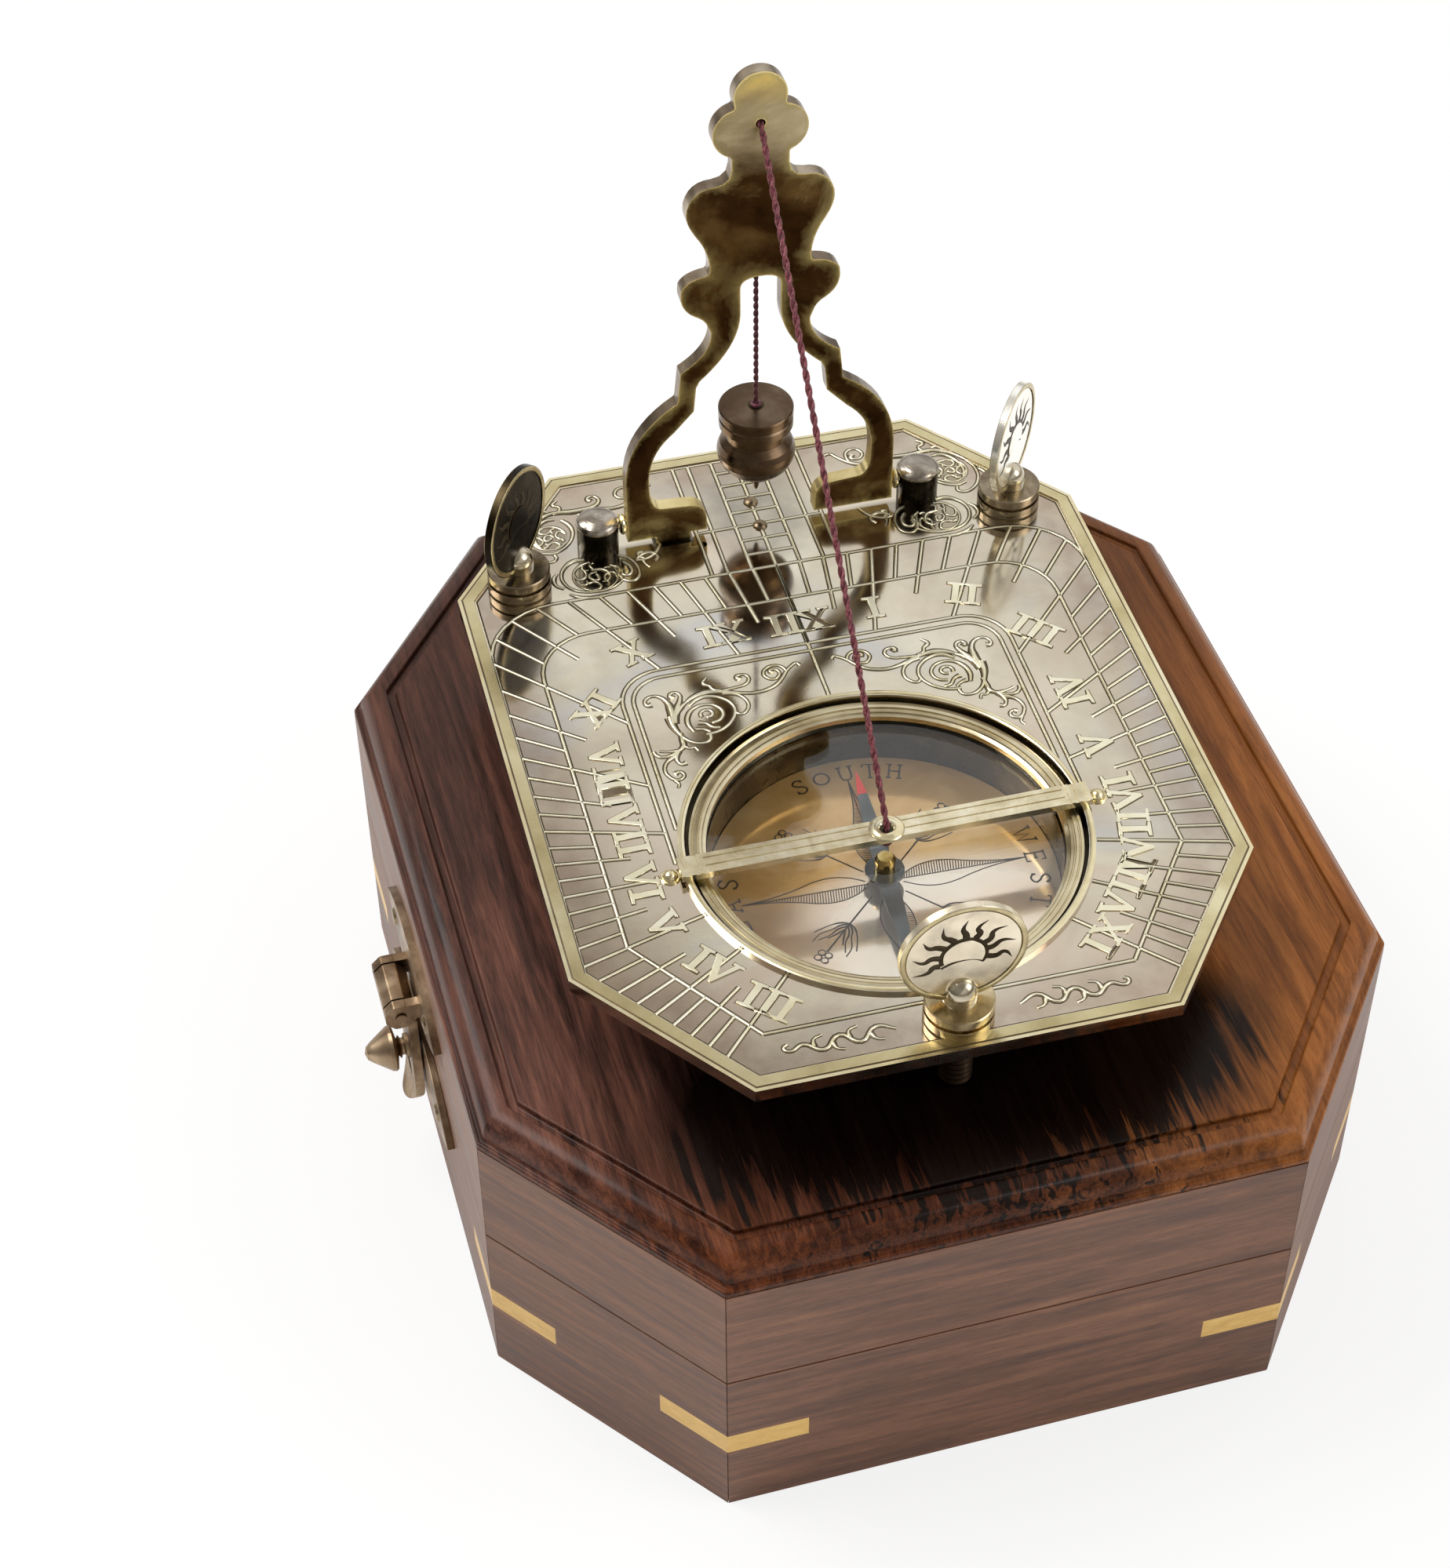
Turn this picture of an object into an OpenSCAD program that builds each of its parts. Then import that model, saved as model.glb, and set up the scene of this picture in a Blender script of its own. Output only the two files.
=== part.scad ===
/* [Case] */
// Width of the case, left to right
case_w = 131; // [124:0.5:150]
// Length of the case, front to back
case_l = 152.4; // [146:0.2:175]
// Length of the case's front and back sides
case_front = 80.2; // [70:0.2:90]
// Length of the case's left and right sides
case_side = 87.2; // [80:0.2:95]
// Height of the base, from the table to the seam
base_h = 28.8; // [27:0.1:40]
// Height of the closed case
case_h = 53.1; // [51:0.1:70]
// Thickness of the wooden walls
wall_t = 7; // [5:0.5:8]
// Thickness of the bottom board
floor_t = 5; // [3:0.5:8]
// Thickness of the lid's top board
lid_board_t = 5.25; // [4.6:0.05:7]
// Height of the upright lip under the lid's moulding
lip_h = 1.2; // [0.6:0.1:2]
// Step from the lip in to the foot of the moulding
lip_step = 0.9; // [0.4:0.1:1.5]
// Run of the rounded moulding, outside to inside
ovolo_run = 3.1; // [2:0.1:3.4]
// Distance of the lid's groove from the case's side
groove_inset = 5.7; // [5.4:0.1:9]
// Width of the groove in the lid
groove_w = 1.3; // [0.8:0.1:2]
// Depth of the groove in the lid
groove_d = 0.9; // [0.4:0.1:1.5]
// Height of the middle of the corner keys above the table
key_z = 14.5; // [11:0.5:17]
// Thickness of a corner key
key_t = 3.8; // [2:0.1:5]
// Length of a corner key along each side
key_leg = 11.5; // [8:0.5:13]
// Thickness of the felt linings
felt_t = 1; // [0.6:0.1:2]

/* [Case Hinges] */
// Distance of each hinge from the middle of the side
hinge_y = 28; // [18:1:32]
// Length of a hinge
hinge_len = 16; // [12:1:20]
// Height of a hinge leaf
leaf_h = 9; // [7:0.5:12]
// Thickness of a hinge leaf
leaf_t = 1; // [0.6:0.1:1.2]
// Radius of a hinge barrel
barrel_r = 1.6; // [1.4:0.1:2]
// Radius of a hinge pin
hinge_pin_r = 0.8; // [0.5:0.1:0.9]

/* [Hasp] */
// Height of the hasp's axle above the table
hasp_z = 33; // [32.4:0.2:36]
// Radius of the hasp's barrel
hasp_r = 2.4; // [2.2:0.1:3]
// Length of the hasp's barrel
hasp_len = 7; // [6:0.5:9]
// Radius of the hasp's axle
hasp_pin_r = 0.8; // [0.6:0.1:1]
// Reach of the tongue below its axle
tongue_reach = 22.6; // [21:0.2:24]
// Width of the tongue
tongue_w = 8; // [7:0.5:10]
// Thickness of the tongue
tongue_t = 1.4; // [1:0.1:1.8]
// Distance of the pull knob below the axle
knob_drop = 12.4; // [10.8:0.2:12.8]
// Radius of the pull knob's head
knob_r = 3.5; // [2.6:0.1:4.2]
// Length of the pull knob
knob_len = 6.5; // [4.5:0.1:7]
// Length of the leaf-shaped catch plate
catch_len = 41; // [36:1:56]
// Width of the leaf-shaped catch plate
catch_w = 13; // [11:0.5:14]
// Thickness of the catch and hasp plates
mount_plate_t = 1.1; // [0.8:0.1:1.4]

/* [Instrument Position] */
// Sideways place of the instrument on the lid
dial_x = -0.9; // [-6:0.1:6]
// Place of the instrument's middle, front to back
dial_y = 3.4; // [-5:0.1:6]
// How far the instrument is turned on the lid
dial_turn = -1.3; // [-4:0.1:4]
// Height of the plate's upper face above the lid
stand_off = 13.6; // [13.4:0.1:18]

/* [Dial Plate] */
// Width of the dial plate
plate_w = 96.2; // [94:0.2:104]
// Length of the dial plate
plate_l = 127; // [124:0.5:136]
// Length of the plate's front and back sides
plate_front = 58; // [52:0.5:66]
// Length of the plate's left and right sides
plate_side = 78; // [70:0.5:84]
// Thickness of the dial plate
plate_t = 1.7; // [1.4:0.1:2.4]
// Width of the raised border band
border_w = 2.4; // [1.5:0.1:3]
// Height of the raised border band
border_h = 0.25; // [0.15:0.05:0.5]

/* [Compass] */
// Distance of the compass in front of the plate's middle
compass_y = 24; // [22:0.1:25]
// Radius of the round opening for the compass
well_r = 27.9; // [26.6:0.1:28.4]
// Width of the raised lip round the opening
well_lip_w = 1; // [0.6:0.1:1.4]
// Height of the raised lip round the opening
well_lip_h = 0.6; // [0.4:0.1:1]
// Depth of the bowl under the plate's upper face
bowl_depth = 11.5; // [11:0.1:12]
// Thickness of the bowl's metal
bowl_wall = 1; // [0.7:0.1:1.2]
// Outer radius of the bezel ring
bezel_r = 27.4; // [26:0.1:27.5]
// Inner radius of the bezel ring
bezel_in_r = 24.9; // [24:0.1:25.2]
// Thickness of the glass
glass_t = 1.6; // [1:0.1:2]
// Length of one half of the needle
needle_len = 20; // [15:0.5:23]
// Width of the needle at its hub
needle_w = 2.5; // [2:0.1:4]
// Direction of the needle from the noon line
needle_turn = -4; // [-180:1:180]
// Width of the crossbar
bar_w = 3.7; // [3.3:0.1:5]
// Thickness of the crossbar
bar_t = 0.9; // [0.7:0.1:1.4]
// Radius of the hole in the crossbar's eyelet
eye_r = 0.95; // [0.7:0.05:1.1]

/* [Stand] */
// Distance of the stand's axle behind the plate's middle
axle_y = 45.2; // [44:0.1:47]
// Height of the stand's axle above the plate
axle_z = 4.4; // [4.2:0.1:4.5]
// Thickness of the stand
stand_t = 2.2; // [2:0.1:2.8]
// Height of the feet's underside above the plate
foot_gap = 1.5; // [1:0.1:1.6]
// Radius of the stand's pivot pins
pivot_r = 0.7; // [0.5:0.05:0.75]
// Distance of a hinge post from the noon line
post_x = 25.2; // [25:0.1:27]
// Radius of a hinge post
post_r = 3.15; // [2.6:0.05:3.3]
// Height of a hinge post's side
post_h = 5.6; // [5.5:0.1:6.5]
// Height of the threads' hole above the plate
thread_z = 72.1; // [71:0.1:73]
// Radius of the threads' hole
thread_hole_r = 0.7; // [0.6:0.05:0.9]
// Radius of the threads
thread_r = 0.32; // [0.25:0.01:0.35]

/* [Plumb Bob] */
// Height of the bob's top above the plate
bob_top = 21.5; // [20:0.1:24]
// Length of the bob
bob_len = 16.3; // [14:0.1:17]
// Radius of the bob's bulb
bob_r = 5.95; // [4.5:0.05:6.1]
// Radius of the bob's top disc
bob_disc_r = 5.65; // [4.2:0.05:5.9]

/* [Levelling Screws] */
// Distance of the back screws from the noon line
screw_x = 38.4; // [37.5:0.1:39.5]
// Distance of the back screws behind the plate's middle
screw_back_y = 40.3; // [38.5:0.1:41]
// Distance of the front screw before the plate's middle
screw_front_y = 57.5; // [57.2:0.1:59]
// Radius of a levelling screw
screw_r = 2.3; // [1.8:0.05:2.6]
// Radius of the collar that a screw turns in
collar_r = 4.75; // [4:0.05:5]
// Height of the collar that a screw turns in
collar_h = 3.6; // [3:0.1:4.4]
// Radius of a thumb disc
disc_r = 8.6; // [7:0.1:9]
// Thickness of a thumb disc at its rim
disc_t = 1.15; // [1:0.05:1.8]

/* [Hidden] */

// Colours
rosewood = [0.30, 0.17, 0.13];
side_wood = [0.45, 0.33, 0.26];
pale_wood = [0.85, 0.66, 0.25];
felt = [0.10, 0.16, 0.13];
aged_brass = [0.50, 0.42, 0.28];
bright_brass = [0.80, 0.68, 0.36];
plate_metal = [0.68, 0.63, 0.52];
copper_brass = [0.86, 0.62, 0.42];
blue_steel = [0.25, 0.30, 0.36];
steel = [0.55, 0.55, 0.55];
thread_red = [0.48, 0.10, 0.14];

// Fits and clearances
run_fit = 0.05;      // radial play of a pin or screw in its hole
seat_gap = 0.1;      // play of a piece let into another
move_gap = 0.3;      // room between pieces that move past each other
seam = 0.3;          // open line between the base and the lid
mitre_gap = 0.1;     // glue line between two wall boards
slack = 0.01;        // overlap of shapes fused within one piece

// Heights in the case
lid_z = base_h + seam;
lid_board_z = case_h - lid_board_t;
ovolo_z = lid_board_z + lip_h;
hinge_z = base_h + seam / 2;
hinge_axis = barrel_r + move_gap;

// Case fittings
wall_x = case_w / 2;
knuckle_gap = 0.3;
middle_knuckle = hinge_len / 3;
screw_head_r = 1.5;
screw_head_h = 0.5;
screw_shank_r = 0.7;
screw_depth = 4.5;
leaf_screw_y = hinge_len * 0.31;
leaf_screw_drop = leaf_h * 0.64;
hasp_x = -wall_x - mount_plate_t - move_gap - hasp_r;
tongue_x = -wall_x - mount_plate_t - move_gap;
hasp_ear_t = 1.5;
hasp_neck = hasp_r + 0.5;
hasp_plate_len = 34;
hasp_plate_w = 12;
hasp_plate_z = hasp_z + 4;
catch_z = hasp_z - 13.3;
stud_drop = tongue_reach - 6;
catch_stud_r = 1.3;
catch_stud_h = 1.3;
plate_screw_share = 0.32;

// Compass heights below the plate's upper face
flange_t = 0.9;
flange_r = well_r + 2.6;
glass_top = -plate_t;
glass_r = bezel_in_r + 0.9;
bezel_h = 1.5;
card_t = 0.8;
card_top = -bowl_depth + bowl_wall + card_t;
needle_z = card_top + 2;
needle_t = 0.5;
pivot_point_z = needle_z + 1.1;
needle_pivot_r = 0.5;
needle_hub_r = 2.8;
cap_r = 1.5;
cap_h = 2.6;
bar_z = well_lip_h;
bar_half = well_r + well_lip_w + 0.45;
eyelet_r = 1.5;
eyelet_flange_r = 2.6;
eyelet_flange_t = 0.4;
eye_top = bar_z + bar_t + eyelet_flange_t;
stud_x = well_r + 2.75;
stud_r = 0.8;
stud_head_r = 1.15;
knot_r = 1;

// Stand and its spring
dome_h = 1.4;
dome_r = post_r + 0.15;
spigot_r = 1.5;
stand_half = post_x - post_r - 1.25;
pivot_in = stand_half - 5;
pivot_out = post_x + 0.7;
pivot_collar_r = 1.7;
heel_x = 13.7;
heel_w = 5.4;
heel_r = axle_z + plate_t - move_gap;
heel_depth = sqrt(pow(heel_r, 2) - pow(stand_t / 2, 2));
slot_play = 0.4;
slot_front = stand_t / 2 + 0.7;
slot_back = sqrt(pow(heel_r, 2) - pow(axle_z, 2)) + 0.5;
spring_t = 0.5;
spring_rivet_y = [-0.7, 5];
spring_rivet_r = 0.8;
rivet_head_r = 1.15;
knot_y = stand_t / 2 + knot_r;
bob_y = stand_t / 2 + thread_r + move_gap;
bob_bore = 2.5;
fillet = 0.5;

// Levelling screws: place of each and the way its disc faces
screws = [
  ["front", 0, -screw_front_y, 0],
  ["left", -screw_x, screw_back_y, 51],
  ["right", screw_x, screw_back_y, 52]
];
stem_z = collar_h - 0.7;
disc_z = collar_h + move_gap + 0.1 + disc_r;
stem_side_z = collar_h + 1.5;

// Outline tools
function octagon(w, l, front, side, inset = 0) =
  let (
    hw = w / 2, hl = l / 2,
    n = [hl - side / 2, hw - front / 2] / norm([hl - side / 2, hw - front / 2]),
    c = n * [front / 2, hl] - inset,
    a = (c - n[1] * (hl - inset)) / n[0],
    b = (c - n[0] * (hw - inset)) / n[1],
    x = hw - inset, y = hl - inset
  )
  [[-a, -y], [a, -y], [x, -b], [x, b], [a, y], [-a, y], [-x, b], [-x, -b]];
function case_outline(inset = 0) = octagon(case_w, case_l, case_front, case_side, inset);
function plate_outline(inset = 0) = octagon(plate_w, plate_l, plate_front, plate_side, inset);
function toward(a, b) = (b - a) / norm(b - a);
function bend(a, b, c, steps = 10) =
  [for (i = [0:steps]) let (t = i / steps) pow(1 - t, 2) * a + 2 * t * (1 - t) * b + pow(t, 2) * c];

module octagon_ring(outer, inner, h) {
  linear_extrude(h) difference() {
    polygon(outer);
    polygon(inner);
  }
}

// A leaf with two pointed ends, flat in Y and Z, its back at x = 0
module pointed_leaf(len, w, t) {
  r = (pow(len, 2) + pow(w, 2)) / (4 * w);
  rotate([90, 0, -90]) linear_extrude(t) intersection() {
    translate([0, r - w / 2]) circle(r, $fn = 160);
    translate([0, w / 2 - r]) circle(r, $fn = 160);
  }
}

// A small screw along -X with its head's underside at x = 0
module small_screw() {
  rotate([0, 90, 0]) {
    translate([0, 0, -screw_depth]) cylinder(h = screw_depth, r = screw_shank_r, $fn = 24);
    rotate_extrude($fn = 32)
      polygon([[0, 0], [screw_head_r, 0], [screw_head_r * 0.8, screw_head_h * 0.7], [0, screw_head_h]]);
  }
}

// Places of the small screws: on the right side, then turned round for the left
module at_leaf_screws(way) {
  for (y = [-hinge_y, hinge_y], s = [-1, 1])
    translate([wall_x + leaf_t, y + s * leaf_screw_y, hinge_z + way * leaf_screw_drop]) children();
}
module at_plate_screws(len, z) {
  for (s = [-1, 1])
    translate([-wall_x - mount_plate_t, s * len * plate_screw_share, z]) rotate(180) children();
}

// Wooden case
module wall_boards(z, h) {
  outer = case_outline();
  inner = case_outline(wall_t);
  for (i = [0:7]) {
    j = (i + 1) % 8;
    e = toward(outer[i], outer[j]) * mitre_gap / 2;
    translate([0, 0, z]) linear_extrude(h)
      polygon([outer[i] + e, outer[j] - e, inner[j] - e, inner[i] + e]);
  }
}

// A triangle let into both faces of each corner, past them when it cuts
module key_shapes(out = 0) {
  p = case_outline();
  for (i = [0:7]) {
    before = toward(p[i], p[(i + 7) % 8]);
    after = toward(p[i], p[(i + 1) % 8]);
    translate([0, 0, key_z - key_t / 2]) linear_extrude(key_t) polygon([
      p[i] + before * key_leg, p[i] + before * key_leg - after * out, p[i] - (before + after) * out,
      p[i] + after * key_leg - before * out, p[i] + after * key_leg
    ]);
  }
}

module base_walls() {
  color(side_wood) difference() {
    wall_boards(0, base_h);
    key_shapes(1);
    at_leaf_screws(-1) small_screw();
    at_plate_screws(catch_len, catch_z) small_screw();
  }
}

module base_floor() {
  color(side_wood) linear_extrude(floor_t) polygon(case_outline(wall_t + seat_gap));
}

module corner_keys() {
  p = case_outline();
  color(pale_wood) for (i = [0:7])
    translate([0, 0, key_z - key_t / 2]) linear_extrude(key_t) polygon([
      p[i], p[i] + toward(p[i], p[(i + 7) % 8]) * key_leg, p[i] + toward(p[i], p[(i + 1) % 8]) * key_leg
    ]);
}

module base_felt() {
  color(felt) translate([0, 0, floor_t]) linear_extrude(felt_t)
    polygon(case_outline(wall_t + seat_gap));
}

module lid_walls() {
  color(side_wood) difference() {
    wall_boards(lid_z, lid_board_z - lid_z);
    at_leaf_screws(1) small_screw();
    at_plate_screws(hasp_plate_len, hasp_plate_z) small_screw();
  }
}

module lid_board() {
  color(rosewood) difference() {
    union() {
      translate([0, 0, lid_board_z]) linear_extrude(lip_h) polygon(case_outline());
      hull() for (a = [0:15:90])
        translate([0, 0, ovolo_z - slack]) linear_extrude(slack + (case_h - ovolo_z) * sin(a))
          polygon(case_outline(lip_step + ovolo_run * (1 - cos(a))));
    }
    translate([0, 0, case_h - groove_d])
      octagon_ring(case_outline(groove_inset - groove_w / 2), case_outline(groove_inset + groove_w / 2), 2);
  }
}

module lid_felt() {
  color(felt) translate([0, 0, lid_board_z - felt_t]) linear_extrude(felt_t)
    polygon(case_outline(wall_t + seat_gap));
}

// Hinge on the right side, its own middle at the wall and the seam
module hinge_leaf(way) {
  axis_x = hinge_axis;
  half = hinge_len / 2;
  mid = middle_knuckle / 2;
  own = way > 0 ? [[-mid, mid]] : [[-half, -mid - knuckle_gap], [mid + knuckle_gap, half]];
  other = way > 0 ? [[-half - 1, -mid], [mid, half + 1]] : [[-mid - knuckle_gap, mid + knuckle_gap]];
  difference() {
    union() {
      translate([0, -half, way > 0 ? seam / 2 : -leaf_h]) cube([leaf_t, hinge_len, leaf_h - seam / 2]);
      for (k = own)
        translate([axis_x, k[0], 0]) rotate([-90, 0, 0]) cylinder(h = k[1] - k[0], r = barrel_r, $fn = 32);
    }
    for (k = other)
      translate([axis_x, k[0], 0]) rotate([-90, 0, 0])
        cylinder(h = k[1] - k[0], r = barrel_r + knuckle_gap, $fn = 32);
    translate([axis_x, -half - 1, 0]) rotate([-90, 0, 0])
      cylinder(h = hinge_len + 2, r = hinge_pin_r + run_fit, $fn = 32);
    for (s = [-1, 1])
      translate([-1, s * leaf_screw_y, way * leaf_screw_drop]) rotate([0, 90, 0])
        cylinder(h = 4, r = screw_shank_r, $fn = 24);
  }
}

module at_hinges() {
  for (y = [-hinge_y, hinge_y]) translate([wall_x, y, hinge_z]) children();
}

module base_hinge_leaves() {
  color(aged_brass) at_hinges() hinge_leaf(-1);
}

module lid_hinge_leaves() {
  color(aged_brass) at_hinges() hinge_leaf(1);
}

module hinge_pins() {
  color(steel) at_hinges() translate([hinge_axis, -hinge_len / 2 - 0.4, 0]) rotate([-90, 0, 0])
    cylinder(h = hinge_len + 0.8, r = hinge_pin_r, $fn = 32);
}

module base_screws() {
  color(aged_brass) {
    at_leaf_screws(-1) small_screw();
    at_plate_screws(catch_len, catch_z) small_screw();
  }
}

module lid_screws() {
  color(aged_brass) {
    at_leaf_screws(1) small_screw();
    at_plate_screws(hasp_plate_len, hasp_plate_z) small_screw();
  }
}

// Hasp on the left side
module screwed_leaf(len, w, z) {
  difference() {
    translate([-wall_x, 0, z]) pointed_leaf(len, w, mount_plate_t);
    for (s = [-1, 1])
      translate([-wall_x - 3, s * len * plate_screw_share, z]) rotate([0, 90, 0])
        cylinder(h = 4, r = screw_shank_r, $fn = 24);
  }
}

module catch_plate() {
  color(aged_brass) {
    screwed_leaf(catch_len, catch_w, catch_z);
    translate([-wall_x - mount_plate_t + slack, 0, hasp_z - stud_drop]) rotate([0, -90, 0])
      rotate_extrude($fn = 32)
        polygon([[0, 0], [catch_stud_r, 0], [catch_stud_r * 0.7, catch_stud_h], [0, catch_stud_h + slack]]);
  }
}

// A rounded eight-sided block along Z
module barrel_block(h) {
  soft = 0.5;
  linear_extrude(h) offset(r = soft, $fn = 24) rotate(22.5) circle(hasp_r - soft, $fn = 8);
}

module hasp_plate() {
  ear = hasp_len / 2 + knuckle_gap;
  color(aged_brass) difference() {
    union() {
      screwed_leaf(hasp_plate_len, hasp_plate_w, hasp_plate_z);
      for (s = [-1, 1]) translate([0, s * (ear + hasp_ear_t / 2), 0]) {
        translate([hasp_x, -hasp_ear_t / 2, hasp_z]) rotate([-90, 0, 0]) barrel_block(hasp_ear_t);
        translate([hasp_x, -hasp_ear_t / 2, hasp_z - hasp_r * 0.3])
          cube([-wall_x - mount_plate_t / 2 - hasp_x, hasp_ear_t, hasp_r * 1.22]);
      }
    }
    translate([hasp_x, -20, hasp_z]) rotate([-90, 0, 0])
      cylinder(h = 40, r = hasp_pin_r + run_fit, $fn = 32);
  }
}

module hasp_pin() {
  half = hasp_len / 2 + knuckle_gap + hasp_ear_t + 0.3;
  color(aged_brass) translate([hasp_x, -half, hasp_z]) rotate([-90, 0, 0])
    cylinder(h = 2 * half, r = hasp_pin_r, $fn = 32);
}

// The tongue hangs from its barrel by a neck, and its end is bent outward as a finger lip
module hasp_tongue() {
  bend_z = hasp_z - tongue_reach + 4.2;
  end_z = hasp_z - tongue_reach;
  round_r = tongue_w / 2;
  color(aged_brass) difference() {
    union() {
      translate([hasp_x, -hasp_len / 2, hasp_z]) rotate([-90, 0, 0]) barrel_block(hasp_len);
      translate([tongue_x - tongue_t, -hasp_len / 2, hasp_z - hasp_neck - 1])
        cube([tongue_t, hasp_len, hasp_neck + 1]);
      intersection() {
        rotate([90, 0, 0]) linear_extrude(tongue_w, center = true) polygon(concat(
          [[tongue_x, hasp_z - hasp_neck]],
          bend([tongue_x, bend_z], [tongue_x, end_z + 1.5], [tongue_x - 2, end_z], 6),
          bend([tongue_x - 2.9, end_z], [tongue_x - tongue_t, end_z + 1.7], [tongue_x - tongue_t, bend_z], 6),
          [[tongue_x - tongue_t, hasp_z - hasp_neck]]
        ));
        translate([tongue_x - 5, 0, 0]) rotate([90, 0, 90]) linear_extrude(6) {
          translate([0, end_z + round_r]) circle(round_r, $fn = 48);
          translate([-round_r, end_z + round_r]) square([tongue_w, tongue_reach]);
        }
      }
    }
    translate([hasp_x, -20, hasp_z]) rotate([-90, 0, 0])
      cylinder(h = 40, r = hasp_pin_r + run_fit, $fn = 32);
    translate([tongue_x - 3, 0, hasp_z - stud_drop]) rotate([0, 90, 0])
      cylinder(h = 6, r = catch_stud_r + 0.4, $fn = 32);
  }
}

// A cone on a ribbed neck
module hasp_knob() {
  neck = 1.3;
  color(aged_brass) translate([tongue_x - tongue_t, 0, hasp_z - knob_drop]) rotate([0, -90, 0])
    rotate_extrude($fn = 48) polygon([
      [0, 0], [neck + 0.6, 0], [neck + 0.6, knob_len * 0.07], [neck, knob_len * 0.1],
      [neck, knob_len * 0.15], [neck + 0.5, knob_len * 0.19], [neck, knob_len * 0.24],
      [knob_r * 0.93, knob_len * 0.3], [knob_r, knob_len * 0.35], [knob_r * 0.97, knob_len * 0.43],
      [knob_r * 0.45, knob_len * 0.84], [knob_r * 0.28, knob_len * 0.95], [0, knob_len]
    ]);
}

// Instrument frame: z = 0 on the dial plate's upper face
module on_lid() {
  translate([dial_x, dial_y, case_h + stand_off]) rotate(dial_turn) children();
}
module at_compass() {
  translate([0, -compass_y, 0]) children();
}
module at_screws() {
  for (s = screws) translate([s[1], s[2], 0]) children();
}
module at_posts() {
  for (s = [-1, 1]) translate([s * post_x, axle_y, 0]) children();
}

module dial_plate() {
  color(plate_metal) on_lid() difference() {
    union() {
      translate([0, 0, -plate_t]) linear_extrude(plate_t) polygon(plate_outline());
      translate([0, 0, -slack]) octagon_ring(plate_outline(), plate_outline(border_w), border_h + slack);
      at_compass() translate([0, 0, -slack])
        cylinder(h = well_lip_h + slack, r = well_r + well_lip_w, $fn = 128);
    }
    at_compass() translate([0, 0, -5]) cylinder(h = 10, r = well_r, $fn = 128);
    at_compass() for (s = [-1, 1])
      translate([s * stud_x, 0, -5]) cylinder(h = 10, r = stud_r, $fn = 24);
    at_screws() translate([0, 0, -5]) cylinder(h = 10, r = screw_r + run_fit, $fn = 48);
    at_screws() cylinder(h = 5, r = collar_r + run_fit, $fn = 64);
    at_posts() translate([0, 0, -5]) cylinder(h = 10, r = spigot_r, $fn = 32);
    for (y = spring_rivet_y)
      translate([0, axle_y + y, -5]) cylinder(h = 10, r = spring_rivet_r, $fn = 24);
    translate([-heel_x - heel_w / 2 - slot_play, axle_y - slot_front, -5])
      cube([heel_w + 2 * slot_play, slot_front + slot_back, 10]);
    translate([-heel_x + heel_w / 2 + 1.5, axle_y - slot_front - 1, -5]) cylinder(h = 10, r = 0.6, $fn = 24);
  }
}

module compass_bowl() {
  color(bright_brass) on_lid() at_compass() difference() {
    union() {
      rotate_extrude($fn = 128) polygon([
        [0, -bowl_depth], [glass_r + bowl_wall, -bowl_depth], [glass_r + bowl_wall, -plate_t - flange_t],
        [flange_r, -plate_t - flange_t], [flange_r, -plate_t], [glass_r + seat_gap, -plate_t],
        [glass_r + seat_gap, glass_top - glass_t], [glass_r - bowl_wall, glass_top - glass_t],
        [glass_r - bowl_wall, -bowl_depth + bowl_wall], [0, -bowl_depth + bowl_wall]
      ]);
      for (s = [-1, 1]) translate([s * stud_x, 0, -plate_t - flange_t]) cylinder(h = flange_t, r = 3, $fn = 48);
    }
    for (s = [-1, 1]) translate([s * stud_x, 0, -8]) cylinder(h = 10, r = stud_r, $fn = 24);
  }
}

module bezel_ring() {
  ledge = 0.6;
  color(bright_brass) on_lid() at_compass() rotate_extrude($fn = 128) polygon([
    [bezel_in_r, glass_top], [bezel_r, glass_top], [bezel_r, glass_top + bezel_h - 0.4],
    [bezel_r - 0.4, glass_top + bezel_h], [bezel_in_r + ledge + 0.2, glass_top + bezel_h],
    [bezel_in_r + ledge, glass_top + bezel_h - 0.4], [bezel_in_r, glass_top + bezel_h - 0.6]
  ]);
}

module compass_glass() {
  color([0.8, 0.85, 0.85, 0.3]) on_lid() at_compass()
    translate([0, 0, glass_top - glass_t]) cylinder(h = glass_t, r = glass_r, $fn = 128);
}

module compass_card() {
  color(copper_brass) on_lid() at_compass()
    translate([0, 0, card_top - card_t]) cylinder(h = card_t, r = glass_r - bowl_wall - seat_gap, $fn = 128);
}

module needle_pivot() {
  color(steel) on_lid() at_compass() translate([0, 0, card_top]) rotate_extrude($fn = 32) polygon([
    [0, 0], [1.6, 0], [1.3, 0.5], [needle_pivot_r, 0.7],
    [needle_pivot_r, pivot_point_z - card_top - 0.6], [0, pivot_point_z - card_top]
  ]);
}

module needle_blade() {
  half_w = needle_w / 2;
  color(blue_steel) on_lid() at_compass() rotate(needle_turn) translate([0, 0, needle_z])
    linear_extrude(needle_t) difference() {
      union() {
        circle(needle_hub_r, $fn = 48);
        polygon([
          [-half_w, needle_len * 0.35], [-half_w * 0.55, needle_len * 0.78], [0, needle_len],
          [half_w * 0.55, needle_len * 0.78], [half_w, needle_len * 0.35],
          [half_w, -needle_len * 0.35], [half_w * 0.55, -needle_len * 0.78], [0, -needle_len],
          [-half_w * 0.55, -needle_len * 0.78], [-half_w, -needle_len * 0.35]
        ]);
      }
      circle(needle_pivot_r + 2 * run_fit, $fn = 32);
    }
}

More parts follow.
